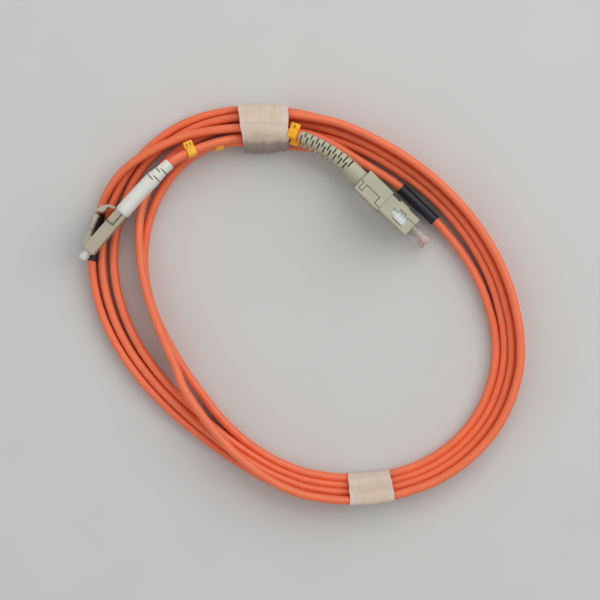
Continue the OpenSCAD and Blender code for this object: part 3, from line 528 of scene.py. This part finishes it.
def pick_faces(piece, wanted):
    """Selects in edit mode the faces whose centre and normal the test accepts."""
    choose(piece)
    for face in piece.data.polygons:
        face.select = bool(wanted(face.center, face.normal))
    for edge in piece.data.edges:
        edge.select = False
    for vertex in piece.data.vertices:
        vertex.select = False
    for face in piece.data.polygons:
        if face.select:
            for v in face.vertices:
                piece.data.vertices[v].select = True
    bpy.ops.object.mode_set(mode="EDIT")
    bpy.ops.mesh.select_mode(type="FACE")


def rounded(node, width):
    """Softens the moulded edges of a CAD piece with live modifiers."""
    weld = node.modifiers.new("weld", "WELD")
    weld.merge_threshold = 1e-6
    bevel = node.modifiers.new("edges", "BEVEL")
    bevel.width, bevel.segments, bevel.limit_method = width, 2, "ANGLE"
    bevel.angle_limit = math.radians(40)
    bevel.harden_normals = False
    smooth = node.modifiers.new("normals", "WEIGHTED_NORMAL")
    smooth.keep_sharp = True


def block(x0, x1, y0, y1, z0, z1):
    """A plain box between these planes, to join to a piece or to cut it with."""
    deselect()
    bpy.ops.mesh.primitive_cube_add(size=1, location=((x0 + x1) / 2, (y0 + y1) / 2, (z0 + z1) / 2))
    piece = bpy.context.object
    piece.scale = (x1 - x0, y1 - y0, z1 - z0)
    bpy.ops.object.transform_apply(location=True, rotation=True, scale=True)
    return piece


def plate(outline, z0, z1):
    """A flat shape extruded upwards from z0 to z1."""
    face = bpy.data.meshes.new("plate")
    face.from_pydata([(x, y, z0) for x, y in outline], [], [tuple(range(len(outline)))])
    piece = bpy.data.objects.new("plate", face)
    bpy.context.collection.objects.link(piece)
    choose(piece)
    bpy.ops.object.mode_set(mode="EDIT")
    bpy.ops.mesh.select_all(action="SELECT")
    bpy.ops.mesh.extrude_region_move(TRANSFORM_OT_translate={"value": (0, 0, z1 - z0)})
    face_outwards(piece)
    return piece


def pin(radius, length, z):
    """A round bar on the LC trigger's axis, at this height."""
    deselect()
    bpy.ops.mesh.primitive_cylinder_add(vertices=24, radius=radius, depth=length, location=(-18, -3.3, z))
    piece = bpy.context.object
    bpy.ops.object.transform_apply(location=True, rotation=True, scale=True)
    return piece


def combine(piece, other, how="UNION"):
    """Joins the other shape to the piece, or cuts it away with DIFFERENCE, and clears it up."""
    tool = piece.modifiers.new("tool", "BOOLEAN")
    tool.operation, tool.solver, tool.object = how, "EXACT", other
    choose(piece)
    bpy.ops.object.modifier_apply(modifier="tool")
    bpy.data.objects.remove(other)
    return piece


def soften(piece, width):
    """Rounds the piece's sharp edges for good."""
    edges = piece.modifiers.new("edges", "BEVEL")
    edges.width, edges.segments, edges.limit_method = width, 2, "ANGLE"
    choose(piece)
    bpy.ops.object.modifier_apply(modifier="edges")
    return piece


def seam(piece, points, floor, width=0.3):
    """Cuts a narrow seam along the points, down to this height, whose walls and floor take the seam finish: painted
    shade, darker than the piece. The piece has the seam's finish second.
    """
    line = [Vector(p) for p in points]
    ways = [(b - a).normalized() for a, b in zip(line, line[1:])]
    sides = [Vector((-w.y, w.x)) for w in ways]
    left, right = [], []
    for k, p in enumerate(line):
        u, v = sides[max(k - 1, 0)], sides[min(k, len(sides) - 1)]
        out = (u + v) / (1 + u.dot(v)) * width / 2
        left.append(tuple(p + out))
        right.append(tuple(p - out))
    cutter = plate(left + right[::-1], floor, floor + 2)
    # the cut's walls and floor take the second finish, painted shade
    for face in cutter.data.polygons:
        face.material_index = 1
    combine(piece, cutter, "DIFFERENCE")


def level_normals(piece):
    """Lets the large flat faces decide the shading, so that seams leave no false shadows."""
    normals = piece.modifiers.new("normals", "WEIGHTED_NORMAL")
    normals.keep_sharp = True
    choose(piece)
    bpy.ops.object.modifier_apply(modifier="normals")


# the second finish is painted shade for seams and slits
def two_finishes(piece, main):
    piece.data.materials.append(finish_of(main))
    piece.data.materials.append(finish_of("seam_shadow"))


def dress(node_name, finish, width=0.0):
    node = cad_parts[node_name]
    node.data.materials.clear()
    node.data.materials.append(finish_of(finish))
    if width:
        rounded(node, width)


# ---------------------------------------------------------------- sizes and colours a user would change
class PatchCordSettings(bpy.types.PropertyGroup):
    jacket_colour: bpy.props.FloatVectorProperty(name="Jacket", description="Colour of the cord's jacket",
        subtype="COLOR_GAMMA", size=3, min=0, max=1, default=(0.94, 0.455, 0.29))
    plug_colour: bpy.props.FloatVectorProperty(name="Plugs", description="Colour of the plugs' moulded plastic",
        subtype="COLOR_GAMMA", size=3, min=0, max=1, default=(0.70, 0.69, 0.595))
    boot_colour: bpy.props.FloatVectorProperty(name="LC boots", description="Colour of the LC boots",
        subtype="COLOR_GAMMA", size=3, min=0, max=1, default=(0.88, 0.88, 0.85))
    ring_colour: bpy.props.FloatVectorProperty(name="Rings", description="Colour of the marker rings",
        subtype="COLOR_GAMMA", size=3, min=0, max=1, default=(0.96, 0.69, 0.05))
    tape_colour: bpy.props.FloatVectorProperty(name="Tape", description="Colour of the masking tape",
        subtype="COLOR_GAMMA", size=3, min=0, max=1, default=(0.84, 0.77, 0.69))
    cord_diameter: bpy.props.FloatProperty(name="Cord", description="Diameter of each round cord in the zip cord",
        unit="LENGTH", default=CORD_D * MM, min=0.0028, max=0.00305)
    boot_slit_depth: bpy.props.FloatProperty(name="Slit depth", description="Depth of the slits in the SC boots",
        unit="LENGTH", default=0.9 * MM, min=0.1 * MM, max=1.2 * MM)
    tape_wave: bpy.props.FloatProperty(name="Tape wave", description="How far the tape's surface wanders",
        unit="LENGTH", default=0.12 * MM, min=0.0, max=0.5 * MM)


# ---------------------------------------------------------------- the pieces
class PATCHCORD_OT_stage(bpy.types.Operator):
    """Adds the floor, the lamps and the camera"""
    bl_idname = "patch_cord.stage"
    bl_label = "Stage"

    def execute(self, context):
        deselect()
        bpy.ops.mesh.primitive_plane_add(size=4, location=(0, 0, -0.00002))
        floor = context.object
        floor.name = "floor"
        paint, nodes, links, shader = new_finish("floor_paint")
        tinted(nodes, links, shader, linear((205, 206, 204)), 0.015, 0.03)
        shader.inputs["Roughness"].default_value = 0.85
        floor.data.materials.append(paint)
        for name, place, size, power in (
                ("key_light", (0.5, 0.5, 0.8), 1.1, 6.9),
                ("fill_light", (-0.7, -0.2, 0.9), 1.2, 2.2)):
            lamp = bpy.data.lights.new(name, "AREA")
            lamp.size = size
            lamp.energy = power
            holder = bpy.data.objects.new(name, lamp)
            context.collection.objects.link(holder)
            holder.location = place
            holder.rotation_euler = (-Vector(place)).to_track_quat("-Z", "Y").to_euler()
        world = bpy.data.worlds.new("room")
        world.use_nodes = True
        world.node_tree.nodes["Background"].inputs["Color"].default_value = (1.0, 1.0, 1.0, 1.0)
        world.node_tree.nodes["Background"].inputs["Strength"].default_value = 0.47
        context.scene.world = world
        eye = bpy.data.cameras.new("camera")
        eye.sensor_width = 36
        eye.lens = 164.0
        camera = bpy.data.objects.new("camera", eye)
        context.collection.objects.link(camera)
        camera.location = spot(*COIL_CENTRE, EYE_HEIGHT)
        eye.clip_start, eye.clip_end = 0.01, 20
        context.scene.camera = camera
        context.scene.view_settings.view_transform = "Standard"
        return {"FINISHED"}


class PATCHCORD_OT_zip_cord(bpy.types.Operator):
    """Draws the duplex zip cord along the coil"""
    bl_idname = "patch_cord.zip_cord"
    bl_label = "Zip cord"

    def execute(self, context):
        r = context.scene.patch_cord.cord_diameter / 2 * 0.99
        up = CORD_PITCH / 2 * MM
        steps = round((END_ANGLE - START_ANGLE) / 3)
        middle = [cord_spot(START_ANGLE + (END_ANGLE - START_ANGLE) * k / steps) for k in range(steps + 1)]
        first = [LC_SPLIT.lerp(middle[0], k / 6) for k in range(6)]
        last = [middle[-1].lerp(SC_SPLIT, k / 6) for k in range(1, 7)]
        route = [p + Vector((0, 0, CORD_H / 2 * MM)) for p in first + middle + last]
        web = 0.35 * MM
        reach = math.degrees(math.asin(web / r))
        arc = [(-90 + reach) + (360 - 2 * reach) * k / 18 for k in range(19)]
        outline = [(r * cosd(a), up + r * sind(a)) for a in arc]
        outline += [(-x, -y) for x, y in outline]
        cord = drawn_tube("zip_cord", route, r, outline)
        finish_piece(cord, "zip_cord", "orange_jacket", ROOT, ["duplex_cord"], 60)
        return {"FINISHED"}


class PATCHCORD_OT_free_cords(bpy.types.Operator):
    """Draws the four free cords from the boots to the split"""
    bl_idname = "patch_cord.free_cords"
    bl_label = "Free cords"

    def execute(self, context):
        r = context.scene.patch_cord.cord_diameter / 2 * 0.99
        for lc in (True, False):
            for i, side in enumerate("ab"):
                name = ("lc" if lc else "sc") + "_leg_" + side
                route = smooth_route(leg_spots(i, lc))
                cord = drawn_tube(name + "_jacket", route, r, sides=20)
                finish_piece(cord, name + "_jacket", "orange_jacket", ROOT, [name], 60)
        return {"FINISHED"}


class PATCHCORD_OT_split_sleeves(bpy.types.Operator):
    """Shrinks a black sleeve over each split"""
    bl_idname = "patch_cord.split_sleeves"
    bl_label = "Split sleeves"

    def execute(self, context):
        for name, split, way in (("lc", LC_SPLIT, LC_WAY), ("sc", SC_SPLIT, SC_WAY)):
            begin = split + way * (LEAD - SPLIT_AT) * MM + Vector((0, 0, CORD_H / 2 * MM))
            stops = [0, 0.25, 0.7, 1.4, 2.8, 4.2, 5.8, 7.4, 8.6, 9.8, 11.3, 12.9, 14.4, 15.8, 16.5, 16.95, 17.2]
            sizes = [0.955, 0.985, 1.0, 0.99, 0.98, 0.985, 0.975, 0.98, 0.972, 0.98, 0.985, 0.978, 0.985, 0.99, 1.0,
                     0.985, 0.955]
            r = 2.03 * MM
            outline = [(r * cosd(a), CORD_PITCH / 2 * MM + r * sind(a)) for a in range(0, 181, 15)]
            outline += [(-x, -y) for x, y in outline]
            sleeve = drawn_tube(name + "_shrink", [begin + way * s * MM for s in stops], r, outline, sizes)
            finish_piece(sleeve, name + "_shrink", "black_shrink", ROOT, [name + "_split_sleeve"], 50)
        return {"FINISHED"}


class PATCHCORD_OT_boots(bpy.types.Operator):
    """Draws the tapered boots and cuts their slits"""
    bl_idname = "patch_cord.boots"
    bl_label = "Boots"

    def boot(self, name, plug, boot, bend, stations, sizes, slits, finish, slot, node):
        """Slits: the station each begins at, the side it is cut from and how deep it goes, in millimetres."""
        frames = [boot_frame(boot, bend, s) for s in stations]
        piece = drawn_tube(name, [m.to_translation() for m in frames], 1.0, sizes=sizes, sides=32)
        two_finishes(piece, finish)
        centre = [m.to_translation() for m in frames]
        middle = [(a + b) / 2 for a, b in zip(centre, centre[1:])]
        for k, side, depth in slits:
            way = (centre[k + 1] - centre[k]).normalized()

            def in_slit(at, normal):
                out = at - middle[k]
                if abs(out.dot(way)) > 0.05 or abs(normal.dot(way)) > 0.5 or out.length > 4:
                    return False
                around = math.degrees(math.atan2(out.z, out.y))
                return abs((around - side + 180) % 360 - 180) < SLIT_REACH

            pick_faces(piece, in_slit)
            # the slit's faces take the second finish, painted shade for the shadow down in the slit
            piece.active_material_index = 1
            bpy.ops.object.material_slot_assign()
            bpy.ops.mesh.extrude_region_shrink_fatten(TRANSFORM_OT_shrink_fatten={"value": -depth})
            bpy.ops.object.mode_set(mode="OBJECT")
        settle(piece, plug)
        finish_piece(piece, name, finish, ROOT, [node], 32)

    def execute(self, context):
        deep = context.scene.patch_cord.boot_slit_depth / MM
        for i, side in enumerate("ab"):
            stations, sizes, slits = [0, 0.25, 3, 6.2, 9, 12, 15], [2.5, 2.65, 2.64, 2.62, 2.6, 2.6, 2.6], []
            for s, r, half in ((16.3, 2.57, 180), (17.5, 2.42, 0), (20.0, 2.15, 180), (21.2, 2.06, 0)):
                slits.append((len(stations), half, r - 1.55))
                stations += [s, s + 0.4]
                sizes += [r, r - 0.03]
            stations += [22.6, 24.6, 25]
            sizes += [1.96, 1.88, 1.78]
            self.boot("lc_strain_relief_" + side, LC_FRAMES[i], LC_BOOT, LC_BENDS[i], stations, sizes, slits,
                      "white_plastic", "white_plastic", "lc_boot_" + side)
            stations, sizes, slits = [0, 0.3, 2.4, 4.6, 6.6], [2.85, 3.0, 2.98, 2.95, 2.92], []
            for k in range(18):
                s = 7.6 + k * 1.17
                slits.append((len(stations), 180 if k % 2 else 0, min(deep, 1.3 - 0.053 * k)))
                stations += [s, s + 0.6]
                sizes += [2.88 - 0.053 * k] * 2
            stations += [28.4, 28.8]
            sizes += [1.9, 1.8]
            self.boot("sc_strain_relief_" + side, SC_FRAMES[i], SC_BOOT, SC_BENDS[i], stations, sizes, slits,
                      "boot_plastic", "beige_plastic", "sc_boot_" + side)
        return {"FINISHED"}


class PATCHCORD_OT_marker_rings(bpy.types.Operator):
    """Snaps a yellow marker ring on each free cord"""
    bl_idname = "patch_cord.marker_rings"
    bl_label = "Marker rings"

    def execute(self, context):
        places = (("lc_marker_a", 0, True, 8), ("lc_marker_b", 1, True, 9),
                  ("sc_marker_a", 0, False, 6), ("sc_marker_b", 1, False, 6))
        for name, i, lc, k in places:
            spots = leg_spots(i, lc)
            middle = (spots[k] + spots[k + 1]) / 2
            route = smooth_route(spots)
            j = min(range(3, len(route) - 3), key=lambda n: (route[n] - middle).length)
            way = (route[j + 3] - route[j - 3]).normalized()
            side = Vector((0, 0, 1)).cross(way).normalized()
            outer = 1 if side.dot(route[j] - spot(0, 0, 0)) > 0 else -1
            deselect()
            bpy.ops.mesh.primitive_cylinder_add(vertices=28, radius=1.85, depth=MARKER_LEN, end_fill_type="NOTHING",
                                                rotation=(0, math.pi / 2, 0))
            ring = context.object
            bpy.ops.object.transform_apply(location=False, rotation=True, scale=False)
            # open below, so that it snaps on
            pick_faces(ring, lambda at, n: at.z < -1.62)
            bpy.ops.mesh.delete(type="FACE")
            bpy.ops.object.mode_set(mode="OBJECT")
            wall = ring.modifiers.new("wall", "SOLIDIFY")
            wall.thickness, wall.offset = 0.5, 0.0
            bpy.ops.object.modifier_apply(modifier="wall")
            # a raised pad, where a letter would stand
            pick_faces(ring, lambda at, n: n.z > 0.72 and at.z > 1.5)
            bpy.ops.mesh.extrude_region_move(TRANSFORM_OT_translate={"value": (0, 0, 0.28)})
            bpy.ops.transform.resize(value=(0.86, 1.12, 0.2), center_override=(0, 0, 2.35))
            bpy.ops.object.mode_set(mode="OBJECT")
            soften(ring, 0.12)
            if name.endswith("a"):
                # two jaws stand up beside the ring, where it is pinched to open it
                jaws = soften(block(-1.7, 1.7, 1.5, 3.8, 0.1, 1.5), 0.2)
                for x in ((-0.95, 0.35) if lc else (-0.4,)):
                    combine(jaws, block(x, x + 0.5, 2.0, 3.0, 0, 2), "DIFFERENCE")
                if outer < 0:
                    jaws.data.transform(Matrix.Rotation(math.pi, 4, "Z"))
                combine(ring, jaws)
            place = Matrix((way, side, way.cross(side))).transposed().to_4x4()
            place.translation = route[j]
            settle(ring, place @ Matrix.Scale(MM, 4))
            finish_piece(ring, name + "_clip", "yellow_ring", ROOT, [name], 40)
        return {"FINISHED"}


class PATCHCORD_OT_tapes(bpy.types.Operator):
    """Winds the two bands of masking tape round the bundle"""
    bl_idname = "patch_cord.tapes"
    bl_label = "Tapes"

    def execute(self, context):
        wave = context.scene.patch_cord.tape_wave / MM
        top = [(-0.3, 0.3), (8, 0.25), (16.6, 0.3), (17.5, 1.0), (17.75, 4.5), (17.3, 8.4), (15.0, 12.4), (12.7, 15.3),
               (10.0, 16.6), (5.2, 16.5), (2.2, 14.3), (0.2, 12.6), (-0.45, 11.0), (-0.5, 4.0), (-0.45, 0.8)]
        low = [(-0.3, 0.3), (6, 0.25), (10.9, 0.3), (11.9, 0.9), (12.2, 3.5), (12.0, 6.6), (10.8, 7.7), (8.6, 8.1),
               (6.7, 9.5), (5.0, 12.2), (3.5, 14.0), (0.3, 14.0), (-0.6, 13.0), (-0.6, 11.2), (-0.5, 4.0), (-0.45, 0.8)]
        # Middle and half of the width, in degrees, at the outer side and for each millimetre inwards
        for name, node, shape, mid, lean, half, wider, finish in (
                ("top_band", "top_tape", top, 348.65, -0.109, 6.85, 0.044, "tape_top"),
                ("low_band", "bottom_tape", low, 160.85, -0.163, 6.05, 0.029, "tape_low")):
            loop = self.rounded_loop(shape, 96)
            rows = 33
            points, faces = [], []
            n = len(loop)
            deepest = max(inward for inward, z in loop)
            for row in range(rows):
                t = row / (rows - 1) * 2 - 1
                for k, (inward, z) in enumerate(loop):
                    swell = wave * (math.sin(k * 0.37 + 2.1 * t) * 0.5 + math.sin(k * 0.83 - 3.3 * t + 1.7) * 0.35
                                    + math.sin(k * 1.61 + 5.2 * t) * 0.15)
                    if node == "top_tape" and inward > 11:
                        torn = 1.02 - 0.4 * max(t, 0) ** 1.3 + 0.03 * math.sin(9 * t) + 0.03 * math.sin(17 * t + 1)
                        inward = 11 + (inward - 11) * torn
                    edge = (half + wider * inward) * t * (1 + 0.012 * math.sin(k * 0.51 + (1 if t > 0 else 4)))
                    a = mid + lean * inward + edge
                    points.append(ring_spot(a, inward + swell + wander(a, inward), max(z + swell, 0.03), False))
            for row in range(rows - 1):
                for k in range(n):
                    a, b = row * n + k, row * n + (k + 1) % n
                    faces.append((a, b, b + n, a + n))
            skin = bpy.data.meshes.new(name)
            skin.from_pydata([tuple(p) for p in points], [], faces)
            layer = skin.uv_layers.new(name="UVMap")
            for face in skin.polygons:
                for corner in face.loop_indices:
                    row, k = divmod(skin.loops[corner].vertex_index, n)
                    layer.data[corner].uv = (row / (rows - 1), max(loop[k][0], 0) / deepest)
            band = bpy.data.objects.new(name, skin)
            context.collection.objects.link(band)
            face_outwards(band)
            wall = band.modifiers.new("wall", "SOLIDIFY")
            wall.thickness, wall.offset = 0.3 * MM, -1
            bpy.ops.object.modifier_apply(modifier="wall")
            finish_piece(band, name, finish, ROOT, [node], 60)
        return {"FINISHED"}

    def rounded_loop(self, shape, count):
        """Evenly spaced points round a closed shape with its corners rounded off."""
        loop = [Vector(p) for p in shape]
        for _ in range(2):
            loop = [p for a, b in zip(loop, loop[1:] + loop[:1]) for p in (a.lerp(b, 0.25), a.lerp(b, 0.75))]
        lengths = [(b - a).length for a, b in zip(loop, loop[1:] + loop[:1])]
        total, even, walked, k = sum(lengths), [], 0.0, 0
        for j in range(count):
            want = total * j / count
            while walked + lengths[k] < want:
                walked += lengths[k]
                k += 1
            even.append(tuple(loop[k].lerp(loop[(k + 1) % len(loop)], (want - walked) / lengths[k])))
        return even


class PATCHCORD_OT_dust_caps(bpy.types.Operator):
    """Turns the dust caps over the ferrules"""
    bl_idname = "patch_cord.dust_caps"
    bl_label = "Dust caps"

    def execute(self, context):
        for i, side in enumerate("ab"):
            cap = turned("lc_cap", [(3.0, 0.67), (-1.5, 0.67), (-1.5, 1.55), (0.0, 1.55), (0.05, 1.3), (1.4, 1.28),
                                    (1.6, 1.5), (3.1, 1.46), (3.45, 1.25), (3.6, 0.8)])
            settle(cap, LC_FRAMES[i])
            finish_piece(cap, "lc_cap_" + side, "milky_cap", "lc_dust_cap_" + side,
                         ["lc_dust_cap_" + side], 30)
            cap = turned("sc_cap", [(1.8, 1.29), (-4.2, 1.29), (-4.2, 1.65), (-4.0, 1.75), (1.1, 1.75), (1.35, 1.65),
                                    (1.6, 1.55), (4.4, 1.5), (4.9, 1.7), (7.1, 2.35), (7.4, 2.42), (7.75, 2.35),
                                    (7.75, 1.9), (7.3, 1.7)])
            settle(cap, SC_FRAMES[i])
            finish_piece(cap, "sc_cap_" + side, "clear_cap", "sc_dust_cap_" + side,
                         ["sc_dust_cap_" + side], 30)
        return {"FINISHED"}


class PATCHCORD_OT_plug_bodies(bpy.types.Operator):
    """Finishes the moulded and metal parts of the plugs"""
    bl_idname = "patch_cord.plug_bodies"
    bl_label = "Plug bodies"

    def execute(self, context):
        for side in "ab":
            dress("lc_housing_" + side, "lc_plastic", 0.12 * MM)
            dress("lc_latch_" + side, "lc_plastic", 0.12 * MM)
            dress("lc_back_body_" + side, "lc_plastic", 0.1 * MM)
            dress("sc_plug_frame_" + side, "frame_plastic", 0.08 * MM)
            dress("sc_back_body_" + side, "beige_plastic", 0.1 * MM)
            for kind in ("lc", "sc"):
                dress(kind + "_ferrule_" + side, "zirconia")
                dress(kind + "_flange_" + side, "nickel_plate")
                dress(kind + "_crimp_sleeve_" + side, "nickel_plate")
                dress(kind + "_spring_" + side, "spring_steel")
                dress(kind + "_fiber_" + side, "buffered_fiber")
        dress("sc_clip_lower", "beige_plastic", 0.1 * MM)
        return {"FINISHED"}


class PATCHCORD_OT_plug_shells(bpy.types.Operator):
    """Moulds the SC housings and clip, the LC clip and the LC trigger"""
    bl_idname = "patch_cord.plug_shells"
    bl_label = "Plug shells"

    def sc_shell(self):
        shell = soften(block(-25, 0, -3.7, 3.45, -4.5, 4.5), 0.35)
        two_finishes(shell, "beige_plastic")
        combine(shell, soften(block(-9.6, -5.5, 3.2, 4.4, -1.5, 1.5), 0.15))
        combine(shell, soften(block(-5.6, -0.05, 3.2, 4.0, -1.4, 1.4), 0.15))
        combine(shell, block(-26, 1, -2.9, 2.86, -3.7, 3.7), "DIFFERENCE")
        # the window on both faces: wide in front, narrow behind
        combine(shell, block(-7.5, -2.9, -2.0, 1.25, -6, 6), "DIFFERENCE")
        combine(shell, block(-9.7, -7.4, -1.3, 0.55, -6, 6), "DIFFERENCE")
        # seams round the window and in front of it, painted shade for the shadow of the window's walls
        seam(shell, [(-7.9, 1.75), (-4.9, 1.75), (-4.9, 1.4)], 4.2, 0.24)
        seam(shell, [(-7.8, -2.45), (-3.2, -2.45)], 4.2, 0.25)
        seam(shell, [(-2.8, 1.4), (0.4, 1.4)], 4.2, 0.2)
        return shell

    def sc_clip(self):
        clip = soften(block(-25, -13.5, -4.25, 4.25, -6.35, 5.05), 0.2)
        two_finishes(clip, "beige_plastic")
        combine(clip, block(-26, -12, -3.75, 3.75, -7, 4.55), "DIFFERENCE")
        # the two leaves of the clip hook into each other along this line, a seam darkened with painted shade
        seam(clip, [(-25.2, -0.4), (-23.8, -0.4), (-23.8, -3.2), (-22.3, -3.2), (-22.3, -0.4), (-16.0, -0.4),
                    (-16.0, -3.2), (-13.2, -3.2)], 4.72, 0.26)
        return clip

    def lc_clip(self):
        clip = block(-18.3, -11.5, -2.7, 2.7, -2.7, 8.95)
        soften(combine(clip, block(-18.25, -13.2, -2.65, 0.6, 8.5, 9.4)), 0.12)
        two_finishes(clip, "lc_plastic")
        for z in (0, LC_PITCH):
            lug = [(-17.1, -2.6), (-18.3, -2.6), (-18.5, -2.75), (-18.9, -2.75), (-18.9, -3.3), (-17.1, -3.3)]
            combine(clip, plate(lug, z - 1.7, z + 1.7))
            combine(clip, block(-30, 0, -2.25, 2.25, z - 2.25, z + 2.25), "DIFFERENCE")
            combine(clip, pin(0.55, 5, z), "DIFFERENCE")
        # seams round the clip's raised tab, darkened with painted shade
        seam(clip, [(-18.4, 0.72), (-13.08, 0.72), (-13.08, -2.8)], 8.68, 0.24)
        seam(clip, [(-18.3, 2.6), (-17.2, 0.72)], 8.68, 0.22)
        return clip

    def lc_lever(self):
        prong = [(-18.5, -3.3), (-18.1, -4.5), (-17.35, -5.6), (-16.45, -6.5), (-15.4, -7.15), (-13.8, -7.5),
                 (-12.3, -7.55), (-12.3, -7.2), (-13, -6.85), (-13.5, -6.4), (-14, -5.4), (-14.4, -5), (-16.8, -4.95),
                 (-17.25, -4.2), (-17.5, -3.3)]
        bar = [(-18.28, -3.9), (-18.1, -4.5), (-17.35, -5.6), (-16.8, -4.95), (-17.25, -4.2)]
        lever = soften(plate(prong, -1.7, 1.7), 0.12)
        combine(lever, soften(plate(prong, LC_PITCH - 1.7, LC_PITCH + 1.7), 0.12))
        combine(lever, plate(bar, 0, LC_PITCH))
        for z in (0, LC_PITCH):
            combine(lever, pin(0.5, 3.4, z))
        return lever

    def execute(self, context):
        shell = self.sc_shell()
        other = shell.copy()
        other.data = shell.data.copy()
        context.collection.objects.link(other)
        made = [(shell, "sc_shell_a", SC_FRAMES[0], "sc_coupler", "sc_housing_a"),
                (other, "sc_shell_b", SC_FRAMES[1], "sc_coupler", "sc_housing_b"),
                (self.sc_clip(), "sc_clip_leaf", SC_FRAMES[0], "sc_coupler", "sc_clip_upper"),
                (self.lc_clip(), "lc_pair_clip", LC_FRAMES[1], ROOT, "lc_duplex_clip"),
                (self.lc_lever(), "lc_lever", LC_FRAMES[1], "lc_trigger", "lc_trigger")]
        for piece, name, place, body, node in made:
            settle(piece, place)
            finish_piece(piece, name, "lc_plastic", body, [node], 30)
            level_normals(piece)
        return {"FINISHED"}


OPERATORS = (
    PATCHCORD_OT_stage, PATCHCORD_OT_zip_cord, PATCHCORD_OT_free_cords, PATCHCORD_OT_split_sleeves,
    PATCHCORD_OT_boots, PATCHCORD_OT_marker_rings, PATCHCORD_OT_tapes, PATCHCORD_OT_dust_caps,
    PATCHCORD_OT_plug_shells, PATCHCORD_OT_plug_bodies)


class PATCHCORD_PT_panel(bpy.types.Panel):
    """Lists the pieces and the sizes and colours that can be changed"""
    bl_idname = "PATCHCORD_PT_panel"
    bl_label = "Patch Cord"
    bl_space_type = "VIEW_3D"
    bl_region_type = "UI"
    bl_category = "Patch Cord"

    def draw(self, context):
        settings = context.scene.patch_cord
        for name in ("jacket_colour", "plug_colour", "boot_colour", "ring_colour", "tape_colour", "cord_diameter",
                     "boot_slit_depth", "tape_wave"):
            self.layout.prop(settings, name)
        for operator in OPERATORS:
            self.layout.operator(operator.bl_idname)


CLASSES = (PatchCordSettings, *OPERATORS, PATCHCORD_PT_panel)


def register():
    for cls in CLASSES:
        bpy.utils.register_class(cls)
    bpy.types.Scene.patch_cord = bpy.props.PointerProperty(type=PatchCordSettings)


def unregister():
    del bpy.types.Scene.patch_cord
    for cls in reversed(CLASSES):
        bpy.utils.unregister_class(cls)


def main():
    register()
    deselect()
    bpy.ops.patch_cord.stage()
    bpy.ops.patch_cord.zip_cord()
    bpy.ops.patch_cord.free_cords()
    bpy.ops.patch_cord.split_sleeves()
    bpy.ops.patch_cord.boots()
    bpy.ops.patch_cord.marker_rings()
    bpy.ops.patch_cord.tapes()
    bpy.ops.patch_cord.dust_caps()
    bpy.ops.patch_cord.plug_shells()
    bpy.ops.patch_cord.plug_bodies()
    deselect()
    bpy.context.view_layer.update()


if __name__ == "__main__":
    main()
